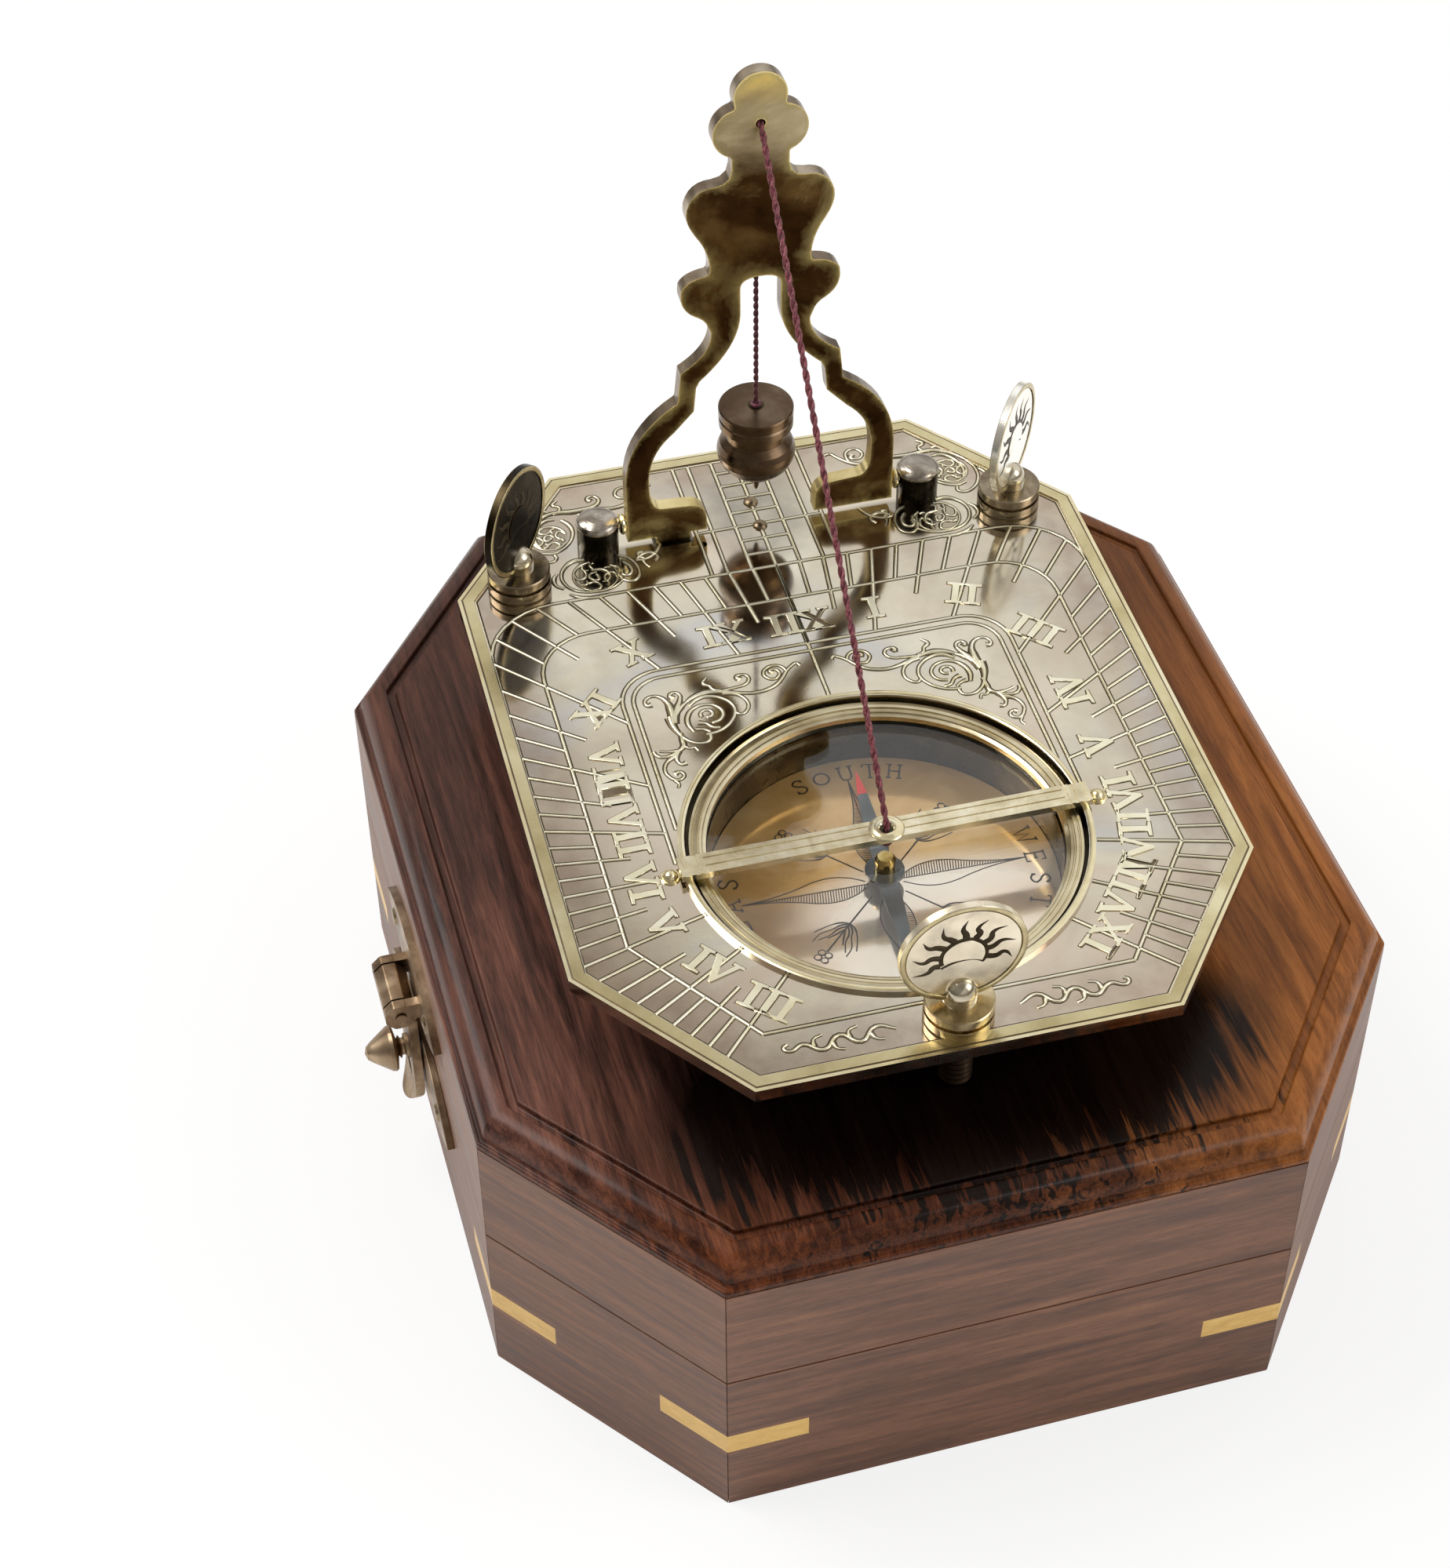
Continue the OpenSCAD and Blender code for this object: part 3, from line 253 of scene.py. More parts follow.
def ground_finish():
    """Pale etched brass, mirror-like, with brownish patina in the border's cells, stains at the rivets, a darker
    patch in the middle under the stand and painted shade under the stand's feet.
    """
    f = Finish("etched_ground", metallic=1.0)
    x, y, _ = f.at_dial()
    patches = f.noise(45.0, 5.0, rough=0.6, distortion=0.4)
    base = f.ramp(patches, THIRDS, ((0.52, 0.45, 0.35), (0.66, 0.60, 0.47), (0.78, 0.73, 0.60)))
    tint = f.noise(30.0, 3.0, f.stretched((1, 1, 1), place=(0.3, 0.1, 0)), 0.55, 0.8)
    base = f.mix(f.between(tint, 0.0, 0.55, 0.52, 0.66), base, (0.50, 0.51, 0.54))
    base = f.mix(f.between(tint, 0.55, 0.0, 0.34, 0.47), base, (0.62, 0.48, 0.39))
    # How far in from the plate's edge, which is straight on the sides and aslant at the corners
    long, high = f.math("ABSOLUTE", x), f.math("ABSOLUTE", y)
    corner = (SLOPE.x * HALF_FRONT + SLOPE.y * HALF_L) * MM
    inset = f.math("MINIMUM", HALF_W * MM - long, HALF_L * MM - high)
    inset = f.math("MINIMUM", inset, corner - (long * SLOPE.x + high * SLOPE.y))
    cells = f.between(inset, 1.0, 0.0, 5.0 * MM, 12.5 * MM)
    worn = f.between(f.noise(90.0, 4.0, rough=0.6), 0.45, 1.0, 0.38, 0.6)
    base = f.mix(cells * worn * 0.72, base, (0.34, 0.25, 0.185))
    # Darker in the middle under the stand and the bob
    middle_patch = f.blob(x, y, (0.0, 0.0475), (0.0078, 0.0105), 0.7) * worn
    base = f.mix(middle_patch * 0.6, base, (0.20, 0.19, 0.18))
    # Painted shade on the plate under the stand's feet
    foot_shade = f.blob(long, y, (0.0185, 0.0431), (0.0095, 0.0019), 0.5)
    base = f.mix(foot_shade * 0.7, base, (0.24, 0.21, 0.17))
    for spot, size in (((0.0269, 0.0395), 0.0034), ((0.0319, 0.0497), 0.0028)):
        base = f.mix(f.blob(long, y, spot, (size, size), 0.3) * 0.6, base, (0.25, 0.20, 0.12))
    return f.done(base, f.between(f.noise(110.0, 4.0), 0.06, 0.15), f.noise(GRAIN, 2.0), 0.03)


def card_finish():
    """Polished copper, golden brown at the left and the back, with a painted reflection of the bright sky as a
    pale pink patch towards the front's middle.
    """
    f = Finish("card_copper")
    x, y, _ = f.at_dial()
    patches = f.noise(60.0, 5.0, rough=0.6, distortion=0.6)
    brown = f.ramp(patches, THIRDS, ((0.46, 0.25, 0.075), (0.66, 0.39, 0.14), (0.86, 0.57, 0.26)))
    pink = f.ramp(patches, THIRDS, ((0.94, 0.74, 0.56), (0.99, 0.86, 0.72), (1.0, 0.93, 0.84)))
    ragged = y + (patches - 0.5) * 0.012
    # Painted reflection of the bright sky on the card, towards the front's middle
    sky_reflection = f.blob(x, ragged, (0.006, -0.0345), (0.021, 0.014), 0.45)
    return f.done(f.mix(sky_reflection, brown, pink), f.between(f.noise(140.0, 4.0), 0.08, 0.15), f.noise(GRAIN, 2.0),
                  0.04, Metallic=f.between(sky_reflection, 0.40, 0.78, 0.0, 1.0))


def felt_finish():
    f = Finish("lining_felt")
    green = f.ramp(f.noise(900.0, 6.0, rough=0.8), (0.3, 0.7), ((0.005, 0.018, 0.01), (0.02, 0.055, 0.03)))
    return f.done(green, 0.95, f.noise(3000.0, 4.0), 0.6, 0.0002, **{"Sheen Weight": 0.4})


def needle_finish():
    """Blued steel with a red lacquered tip towards the dial's back."""
    f = Finish("blued_needle")
    tip = f.math("GREATER_THAN", f.axes()[1], DIAL_Y + (COMPASS_Y + 15.0) * MM)
    blue = f.ramp(f.noise(300.0, 3.0), (0.3, 0.7), ((0.05, 0.055, 0.06), (0.14, 0.15, 0.155)))
    return f.done(f.mix(tip, blue, (0.75, 0.025, 0.02)), 0.22, Metallic=1.0 - tip)


def glass_finish():
    f = Finish("clear_glass")
    return f.done((0.97, 0.985, 0.98), f.between(f.noise(60.0, 3.0), 0.0, 0.02),
                  **{"Transmission Weight": 1.0, "IOR": 1.45})


def thread_finish(name, *tones):
    f = Finish(name)
    return f.done(f.ramp(f.noise(2200.0, 3.0), (0.3, 0.55, 0.75), tones), 0.55, f.noise(9000.0, 2.0), 0.4,
                  **{"Sheen Weight": 0.12})


def ink_finish():
    f = Finish("card_ink", metallic=0.3)
    return f.done(f.ramp(f.noise(500.0, 2.0), (0.3, 0.7), ((0.025, 0.012, 0.006), (0.055, 0.027, 0.013))), 0.4)


ground = ground_finish()
card_copper = card_finish()
felt = felt_finish()
needle_steel = needle_finish()
glass = glass_finish()
ink = ink_finish()
red_thread = thread_finish("red_thread", (0.06, 0.007, 0.012), (0.19, 0.032, 0.045), (0.42, 0.15, 0.16))
dark_thread = thread_finish("dark_thread", (0.035, 0.004, 0.008), (0.10, 0.012, 0.02), (0.22, 0.06, 0.07))
line_brass = metal("raised_line_brass", (0.74, 0.67, 0.44), (0.90, 0.85, 0.64), (0.97, 0.94, 0.80), 0.3)
patina = metal("dark_patina", (0.10, 0.075, 0.045), (0.18, 0.14, 0.09), (0.27, 0.22, 0.15), 0.35)
band_brass = metal("border_brass", (0.46, 0.38, 0.19), (0.62, 0.54, 0.31), (0.78, 0.71, 0.46), 0.22, 0.07, 60.0)
rim_brass = metal("rim_brass", (0.66, 0.55, 0.32), (0.80, 0.71, 0.45), (0.92, 0.87, 0.66), 0.2)
bob_bronze = metal("bob_bronze", (0.055, 0.031, 0.017), (0.11, 0.071, 0.042), (0.21, 0.155, 0.11),
                   0.28, 0.08, 110.0)
fitting = metal("fitting_brass", (0.14, 0.10, 0.06), (0.24, 0.18, 0.11), (0.38, 0.30, 0.18), 0.32, 0.08, 140.0)
# The rods' brass is painted near black, as painted shade under the plate
shaded_rod_brass = metal("shaded_rod_brass", (0.010, 0.006, 0.004), (0.024, 0.015, 0.009), (0.06, 0.04, 0.024),
                  0.42, 0.08, 140.0)
hasp_brass = metal("hasp_brass", (0.10, 0.062, 0.036), (0.27, 0.185, 0.115), (0.52, 0.40, 0.27),
                   0.36, 0.08, 150.0)
steel = metal("plain_steel", (0.16, 0.15, 0.14), (0.27, 0.26, 0.25), (0.42, 0.41, 0.40), 0.4)
stem_brass = metal("stem_brass", (0.42, 0.36, 0.25), (0.62, 0.56, 0.43), (0.85, 0.80, 0.68), 0.18, 0.05, 300.0)
# One brass for the three thumb discs: the left disc's painted dark as shade, the right disc's painted pale as a
# reflection of the bright room
disc_face = metal("disc_face", (0.46, 0.41, 0.33), (0.82, 0.73, 0.56), (0.98, 0.91, 0.73), 0.22, 0.07, 130.0)
rim_gold = metal("rim_gold", (0.36, 0.29, 0.14), (0.58, 0.49, 0.28), (0.84, 0.76, 0.52), 0.24, 0.07, 200.0)
disc_painted_glare = metal("disc_painted_glare", (0.88, 0.85, 0.75), (0.97, 0.95, 0.86), (1.0, 0.99, 0.93), 0.25, 0.07, 130.0)
cap_gold = metal("cap_gold", (0.32, 0.20, 0.06), (0.58, 0.41, 0.14), (0.85, 0.68, 0.32), 0.2, 0.06, 300.0)
disc_painted_shade = metal("disc_painted_shade", (0.006, 0.004, 0.002), (0.015, 0.010, 0.005), (0.06, 0.043, 0.023),
                  0.3, 0.07, 160.0)
disc_sink = metal("disc_recess", (0.035, 0.025, 0.014), (0.06, 0.045, 0.026), (0.10, 0.08, 0.05), 0.4)
bar_brass = metal("bar_brass", (0.60, 0.52, 0.33), (0.78, 0.70, 0.49), (0.92, 0.87, 0.70), 0.22, 0.06, 220.0)
bowl_brass = metal("bowl_dark", (0.020, 0.017, 0.012), (0.045, 0.038, 0.026), (0.10, 0.085, 0.055),
                   0.28, 0.07, 90.0)
bezel_brass = ringed("bezel_brass", (0.40, 0.33, 0.19), (0.64, 0.56, 0.37), (0.88, 0.82, 0.62), COMPASS, 0.2)
bronze = rising("antique_bronze", "Z", DIAL_Z + 0.0672, 0.007,
                [(0.022, 0.009, 0.003), (0.062, 0.029, 0.009), (0.17, 0.10, 0.037)],
                [(0.25, 0.19, 0.105), (0.43, 0.35, 0.205), (0.66, 0.56, 0.36)], 0.3, 70.0,
                edges=(0.80, 0.66, 0.30), crown=(DIAL_Z + 0.0768, (0.86, 0.60, 0.12)))
bronze_side = rising("bronze_sides", "Z", DIAL_Z + 0.012, 0.006,
                     [(0.34, 0.25, 0.10), (0.58, 0.46, 0.20), (0.80, 0.68, 0.36)],
                     [(0.09, 0.06, 0.035), (0.22, 0.17, 0.12), (0.44, 0.37, 0.28)], 0.28, 70.0)
post_brass = rising("post_brass", "Z", DIAL_Z + 0.0052, 0.0003,
                    [(0.006, 0.005, 0.003), (0.012, 0.010, 0.007), (0.05, 0.04, 0.025)],
                    [(0.24, 0.205, 0.17), (0.36, 0.315, 0.265), (0.56, 0.51, 0.45)], 0.24, 300.0)
collar_brass = rising("collar_brass", "Y", 0.0, 0.02,
                      [(0.31, 0.235, 0.13), (0.56, 0.45, 0.26), (0.78, 0.66, 0.42)],
                      [(0.13, 0.095, 0.06), (0.25, 0.20, 0.135), (0.44, 0.37, 0.26)], 0.24, 160.0)
lid_wood = wood("lid_wood", (150, 9, 150), (0.33, 0.46, 0.57, 0.70),
                ((0.016, 0.008, 0.006), (0.068, 0.030, 0.023), (0.135, 0.055, 0.038), (0.25, 0.105, 0.065)),
                0.26, coat=0.0, shine=0.16, pores=0.35,
                right=((0.11, 0.034, 0.007), (0.20, 0.066, 0.014), (0.29, 0.100, 0.023), (0.40, 0.155, 0.042)),
                # The front tones are painted shade under the instrument's plate
                front=((0.013, 0.003, 0.0015), (0.052, 0.013, 0.004), (0.13, 0.034, 0.009), (0.22, 0.066, 0.017)))
side_wood = wood("side_wood", (11, 11, 150), (0.32, 0.48, 0.60, 0.75),
                 ((0.06, 0.023, 0.013), (0.145, 0.060, 0.032), (0.23, 0.102, 0.053), (0.32, 0.155, 0.083)),
                 0.38, coat=0.0)
key_wood = wood("key_wood", (60, 60, 220), THIRDS, ((0.60, 0.34, 0.07), (0.76, 0.47, 0.12), (0.86, 0.60, 0.20)),
                0.4, pores=0.15)
floor_wood = wood("floor_wood", (120, 8, 120), THIRDS,
                  ((0.10, 0.05, 0.03), (0.20, 0.10, 0.06), (0.30, 0.16, 0.09)), 0.5, coat=0)

for material, names in (
        (side_wood, "base_walls lid_walls"), (floor_wood, "base_floor"), (key_wood, "corner_keys"),
        (lid_wood, "lid_board"), (felt, "base_felt lid_felt"),
        (hasp_brass, "catch_plate hasp_plate hasp_pin hasp_tongue hasp_knob"),
        (fitting, "base_hinge_leaves lid_hinge_leaves base_screws lid_screws spring_rivets"),
        (steel, "hinge_pins leaf_spring needle_pivot"), (ground, "dial_plate"), (bowl_brass, "compass_bowl"),
        (bezel_brass, "bezel_ring"), (bar_brass, "crossbar"), (glass, "compass_glass"),
        (card_copper, "compass_card"), (rim_brass, "thread_eyelet bowl_studs pivot_pins pivot_collars"),
        (cap_gold, "needle_cap"), (needle_steel, "needle_blade"), (collar_brass, "screw_collars"),
        (post_brass, "hinge_posts"), (stem_brass, "front_stem left_stem right_stem"),
        (shaded_rod_brass, "front_screw left_screw right_screw"), (disc_face, "front_disc"),
        (disc_painted_glare, "right_disc"), (disc_painted_shade, "left_disc"), (bronze, "gnomon_stand"),
        (bob_bronze, "plumb_bob"), (red_thread, "style_thread style_knot gnomon_knot"),
        (dark_thread, "bob_thread")):
    for name in names.split():
        for piece_slot in NODES[name].material_slots:
            piece_slot.material = material


# ---------------------------------------------------------------- modelling tools
def take(piece):
    """Select this piece alone."""
    bpy.ops.object.select_all(action="DESELECT")
    piece.select_set(True)
    bpy.context.view_layer.objects.active = piece


def laid_out(name, data):
    """A new object in the scene, selected alone."""
    piece = bpy.data.objects.new(name, data)
    bpy.context.collection.objects.link(piece)
    take(piece)
    return piece


def place(piece, matrix=DIAL):
    """Bring a piece drawn in millimetres in the instrument's frame to its place, in its mesh."""
    piece.data.transform(matrix @ Matrix.Scale(MM, 4))


def edited(piece, *steps):
    """In edit mode, run each step, an operator and its settings, on all of a piece."""
    take(piece)
    bpy.ops.object.mode_set(mode="EDIT")
    for operator, settings in steps:
        bpy.ops.mesh.select_all(action="SELECT")
        operator(**settings)
    bpy.ops.object.mode_set(mode="OBJECT")


def smooth_to(degrees):
    """Shade the selected piece smooth over edges up to so many degrees."""
    bpy.ops.object.shade_smooth_by_angle(angle=math.radians(degrees))


def bevel(piece, width, segments, angle=30):
    """Give a piece a rounding, still to be applied, of its edges from angle up, in degrees."""
    rounding = piece.modifiers.new("rounding", "BEVEL")
    rounding.width = width * MM
    rounding.segments = segments
    rounding.limit_method = "ANGLE"
    rounding.angle_limit = math.radians(angle)
    return rounding


def finished(piece, name, body, slot, *materials):
    """Name a piece, give it its materials and let it ride on its body; a thread between two bodies has none."""
    piece.name = name
    piece.data.name = name
    piece.data.materials.clear()
    for material in materials:
        piece.data.materials.append(material)
    if body:
        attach(piece, body)
    return piece


def softened(node, body, slot, width, *materials, angle=35):
    """A CAD piece with its edges rounded as the real one's are."""
    source = NODES[node]
    piece = source.copy()
    piece.data = source.data.copy()
    piece.parent = None
    bpy.context.collection.objects.link(piece)
    edited(piece, (bpy.ops.mesh.remove_doubles, {"threshold": 2e-6}),
           (bpy.ops.mesh.dissolve_limited, {"angle_limit": math.radians(0.6)}))
    bevel(piece, width, 2, angle).harden_normals = True
    finished(piece, node + "_dressed", body, slot, *materials)
    smooth_to(30)
    bpy.ops.object.modifier_apply(modifier="rounding")
    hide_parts(node)
    return piece


def as_mesh(curve, lift, matrix):
    """A curve made a mesh, reshaped by lift and brought to its place."""
    laid_out(curve.name, curve)
    bpy.ops.object.convert(target="MESH")
    piece = bpy.context.active_object
    piece.data.transform(lift)
    place(piece, matrix)
    take(piece)
    return piece


def stroke(points, widths=(1.0,), smooth=False, closed=False):
    """A line to draw; the last of its widths holds for the points that are left."""
    return points, widths, smooth, closed


def drawn(strokes, width, height, level=0.0, matrix=DIAL):
    """Raised lines, as one mesh."""
    curve = bpy.data.curves.new("lines", "CURVE")
    curve.dimensions = "3D"
    curve.bevel_depth = width / 2
    curve.bevel_resolution = 1
    curve.resolution_u = 5
    curve.use_fill_caps = True
    for points, widths, smooth, closed in strokes:
        spline = curve.splines.new("BEZIER" if smooth else "POLY")
        knots = spline.bezier_points if smooth else spline.points
        knots.add(len(points) - 1)
        for i, (knot, (x, y)) in enumerate(zip(knots, points)):
            knot.co = (x, y, 0) if smooth else (x, y, 0, 1)
            if smooth:
                knot.handle_left_type = knot.handle_right_type = "AUTO"
            knot.radius = widths[min(i, len(widths) - 1)]
        spline.use_cyclic_u = closed
    flattened = Matrix.Diagonal((1, 1, 2 * height / width, 1))
    piece = as_mesh(curve, Matrix.Translation((0, 0, level)) @ flattened, matrix)
    bpy.ops.object.shade_smooth()
    return piece


def cut_out(outlines, half_height, level=0.0, matrix=DIAL, **settings):
    """A flat piece inside closed outlines, with an outline inside another as its hole."""
    curve = bpy.data.curves.new("outline", "CURVE")
    curve.dimensions = "2D"
    curve.fill_mode = "BOTH"
    curve.extrude = half_height
    for key, value in settings.items():
        setattr(curve, key, value)
    for outline in outlines:
        spline = curve.splines.new("POLY")
        spline.points.add(len(outline) - 1)
        for knot, (x, y) in zip(spline.points, outline):
            knot.co = (x, y, 0, 1)
        spline.use_cyclic_u = True
    return as_mesh(curve, Matrix.Translation((0, 0, level)), matrix)


def lathe(name, body, slot, material, profile, centre=COMPASS, steps=128):
    """A closed profile of (radius, height) points turned about a vertical axis at centre."""
    bpy.ops.mesh.primitive_circle_add(vertices=len(profile), radius=1, fill_type="NOTHING")
    piece = bpy.context.active_object
    for vertex, (radius, height) in zip(piece.data.vertices, profile):
        vertex.co = (radius, 0, height)
    edited(piece,
           (bpy.ops.mesh.spin, {"steps": steps, "angle": 2 * math.pi, "center": (0, 0, 0), "axis": (0, 0, 1)}),
           (bpy.ops.mesh.remove_doubles, {"threshold": 1e-4}),
           (bpy.ops.mesh.normals_make_consistent, {"inside": False}))
    piece.data.transform(Matrix.Translation((*centre, 0)))
    place(piece)
    smooth_to(35)
    return finished(piece, name, body, slot, material)


def arc(cx, cy, radius, start, end, steps=8):
    """Points of an arc, with its angles in degrees from +X."""
    turn = [math.radians(start + (end - start) * i / steps) for i in range(steps + 1)]
    return [(cx + radius * math.cos(t), cy + radius * math.sin(t)) for t in turn]


def swung(points, degrees):
    """Points turned about the middle."""
    around = Matrix.Rotation(math.radians(degrees), 2)
    return [tuple(around @ Vector(point)) for point in points]


# ---------------------------------------------------------------- the dial's drawing
def plate_outline(inset=0.0):
    """The plate's eight corners, moved in from its edge."""
    x, y = HALF_W - inset, HALF_L - inset
    corner = SLOPE.x * HALF_FRONT + SLOPE.y * HALF_L - inset
    a, b = (corner - SLOPE.y * y) / SLOPE.x, (corner - SLOPE.x * x) / SLOPE.y
    return [(-a, -y), (a, -y), (x, -b), (x, b), (a, y), (-a, y), (-x, b), (-x, -b)]


def arch(feet, x, y, radius):
    """A line up from its left feet, round two corners and down to the right feet."""
    return feet + arc(-x, y, radius, 180, 90) + arc(x, y, radius, 90, 0) + [(-u, v) for u, v in feet[::-1]]


BAND = 2.4
HOUR_SCALE = 0.945
band_inner = plate_outline(BAND)
ladder_in = arch([(-25.5, -54.2), (-39.2, -35.0)], 30.7, 18.8, 8.5)
ladder_out = arch([band_inner[0], band_inner[7]], band_inner[2][0] - 11, 23.9, 11)
frame_out = arch([(-29.3, -21.8)], 22.8, 10.4, 6.5)
frame_in = arch([(-27.7, -15.4)], 22.8, 10.4, 4.9)


def reach(path, way):
    """How far from the compass's middle a line that way crosses a path."""
    found = []
    for (x0, y0), (x1, y1) in zip(path, path[1:]):
        y0, y1 = y0 - COMPASS_Y, y1 - COMPASS_Y
        ex, ey = x1 - x0, y1 - y0
        det = way.x * -ey + way.y * ex
        if abs(det) < 1e-9:
            continue
        t = (x0 * -ey + y0 * ex) / det
        s = (way.x * y0 - way.y * x0) / det
        if t > 0 and -1e-6 <= s <= 1 + 1e-6:
            found.append(t)
    return min(found, default=None)


hour_lines = []
for quarter in range(-36, 37):
    t = math.radians(15 * quarter / 4)
    way = Vector((HOUR_SCALE * math.sin(t), math.cos(t))).normalized()
    outer, inner = reach(ladder_out, way), reach(ladder_in, way)
    if outer is None or inner is None:
        continue
    if quarter % 4 == 0:
        inner = reach(frame_out, way) or 29.0
    elif quarter % 4 == 2:
        inner -= 4.2
    hour_lines.append(stroke([(way.x * far, COMPASS_Y + way.y * far) for far in (inner, outer)]))

straight = [stroke(points) for points in (
    ladder_in, ladder_out[1:-1], [ladder_in[0], ladder_in[-1]], frame_out, frame_in, [(0, 4.9), (0, 34.9)],
    [(-9.9, 45.0), (9.9, 45.0)])]
straight.append(stroke(plate_outline(BAND + 0.05), closed=True))
straight += [stroke([(x, 34.9), (x, 61.0)]) for x in (-9.9, -7.45, -3.75, 0, 3.75, 7.45, 9.9)]
straight += [stroke([(-3.75, y), (3.75, y)]) for y in (38.3, 41.6, 48.3, 51.6, 54.9, 58.1)]


def pens(*rows):
    """Strokes from rows of a stroke's widths, then x, y, x, y and so on in tenths of a millimetre."""
    return [([(x / 10, y / 10) for x, y in zip(row[1::2], row[2::2])], row[0]) for row in rows]


def rosette(cx, cy, radius, turn):
    """A round flower of pen strokes: a ring, leaf lobes inside it and a curl in the middle."""
    def at(share, angle):
        t = math.radians(turn + angle)
        return (cx + radius * share * math.cos(t), cy + radius * share * math.sin(t))

    strokes = [([at(1.0, 24 * i) for i in range(14)], [0.7, 0.9, 1.1, 0.9, 0.7])]
    for a in (0, 90, 180, 270):
        strokes.append(([at(0.98, a), at(0.82, a + 24), at(0.54, a + 24), at(0.42, a - 4), at(0.60, a - 26)],
                        [0.6, 0.9, 0.9, 0.7, 1.1]))
        strokes.append(([at(0.88, a + 50), at(0.68, a + 62), at(0.50, a + 46)], [1.2, 0.8, 0.5]))
    strokes.append(([at(0.28 if i < 4 else 0.12, 70 * i) for i in range(6)], [0.7, 0.7, 1.0]))
    return strokes


# The scrolls of the left side; the right side gets their mirror image
compass_scroll = pens(
    ((1.6, 1), -67, 121, -70, 126, -63, 127, -57, 120, -60, 111, -69, 107, -77, 112, -80, 122, -73, 132, -61, 135,
     -50, 129, -46, 120),
    ((1.2, 1, 1, 1, 1.1, 1.2), -24, 126, -28, 132, -36, 128, -46, 119, -55, 107, -66, 96, -80, 89, -100, 86,
     -120, 90, -140, 98, -155, 103),
    ((1.8, 1.2, 1), -117, 119, -120, 125, -112, 128, -104, 123, -104, 114, -111, 107, -126, 104, -146, 102),
    ((.7, 1.3, 1), -163, 135, -170, 124, -162, 116, -159, 108, -148, 103),
    ((.7, 1.5, 2, 1.5, .8), -206, 90, -192, 99, -175, 104, -158, 103, -146, 99),
    ((1, 1.4, 1.2, 1.1, 1), -200, 84, -184, 95, -166, 95, -150, 86, -140, 72, -139, 56, -147, 40, -160, 28,
     -176, 21, -190, 20),
    ((1.6, 1.4, 1), -148, 97, -132, 92, -121, 81, -117, 68, -121, 55, -132, 48, -139, 53),
    ((1, 1.4, 1.4, 1.1, 1), -207, 30, -211, 48, -206, 66, -193, 78, -176, 80, -162, 72, -157, 58, -164, 45,
     -176, 41),
    ((1.2, 1), -189, 56, -188, 65, -180, 69, -172, 64, -174, 56, -181, 54),
    ((1.6, 1), -196, 46, -186, 42, -178, 32, -168, 29),
    ((1.4, .9), -203, 34, -192, 31, -184, 24),
    ((1.8, 1.2, 1, 1, 1, 1.2, 1.5, 2.2), -252, 99, -258, 98, -261, 105, -257, 113, -247, 116, -237, 111, -230, 99,
     -228, 84, -229, 68, -231, 54),
    ((1.8, 1.2, 1, 1, 1.3, 2), -220, 105, -223, 111, -216, 116, -209, 110, -211, 98, -218, 84, -225, 68,
     -229, 52),
    ((1, 1.6, 1), -203, 92, -214, 82, -223, 69),
    ((2.6, 2, 1.4, 1.1, 1), -233, 66, -233, 50, -229, 34, -223, 20, -213, 9, -200, 4, -188, 8, -185, 18),
    ((1.2, 1.5, 1.6, 1.2, 1), -226, 32, -227, 16, -228, 5, -237, -3, -250, -9, -262, -10, -270, -4, -272, 4),
    ((1.4, .8), -237, -3, -252, -1, -264, 3),
    ((2, 1.5, 1, 1, 1.6), -238, -3, -243, -14, -243, -25, -238, -31, -232, -29),
    ((1.6, 1.1, 1, 1, 1, 1, 1, 1, 1.6), -245, -12, -259, -22, -265, -36, -262, -50, -254, -59, -245, -58,
     -241, -50, -247, -44, -253, -47),
    ((1, .8), -256, -60, -252, -68, -255, -75),
    ((1.2, .8), -227, 4, -220, -2, -214, -1, -210, -9))
corner_scroll = pens(
    ((.8, 1.3, 1), -290, 582, -298, 573, -289, 565, -292, 556, -302, 550),
    ((1.8, 1.2, 1, 1, 1.2, 1.4, 1.7, 2, 1.7, 1.5, 1.7, 1.4, 1.1, 1), -239, 567, -243, 574, -235, 579, -227, 572,
     -228, 562, -238, 554, -254, 551, -272, 550, -292, 553, -310, 552, -326, 544, -342, 530, -355, 510, -360, 488,
     -356, 466, -344, 449, -328, 442, -318, 448, -319, 457),
    ((1, 1.4, 1.4, 1), -302, 539, -316, 539, -330, 529, -339, 513, -341, 494, -336, 477),
    ((1.2, 1.4, 1.2, 1), -292, 534, -284, 522, -281, 506, -285, 490, -294, 476, -306, 466, -322, 461, -336, 465),
    ((1.4, 1.6, 1.2, 1), -278, 436, -294, 436, -310, 425, -319, 408, -318, 388, -308, 372, -292, 363, -274, 360,
     -254, 362, -240, 369, -231, 377),
    ((1, 1.2, 1.2, 1), -231, 377, -220, 370, -208, 375, -203, 389, -205, 408, -214, 424, -226, 433),
    ((1.2, 1, 1.2), -231, 378, -234, 392, -232, 404, -242, 414),
    ((1, 1.6, 1), -272, 410, -254, 406, -248, 390, -256, 378),
    ((1, 1.2, 1), -157, 446, -164, 431, -175, 420, -190, 414, -202, 415),
    ((1.6, 1), -188, 430, -195, 430, -196, 423, -189, 416),
    ((1.4, .9), -192, 413, -190, 403, -186, 395),
    ((1.8, 1.2, 1), -182, 573, -179, 566, -188, 562, -198, 569, -197, 580, -187, 587, -175, 581, -172, 568,
     -174, 557),
    ((1.2, 1, 1, 1.2, 1.4), -140, 583, -149, 584, -158, 573, -169, 560, -182, 550, -202, 543, -220, 544,
     -236, 549))
corner_scroll += rosette(-26.9, 39.5, 3.35, 70) + rosette(-31.9, 49.7, 2.7, 10)
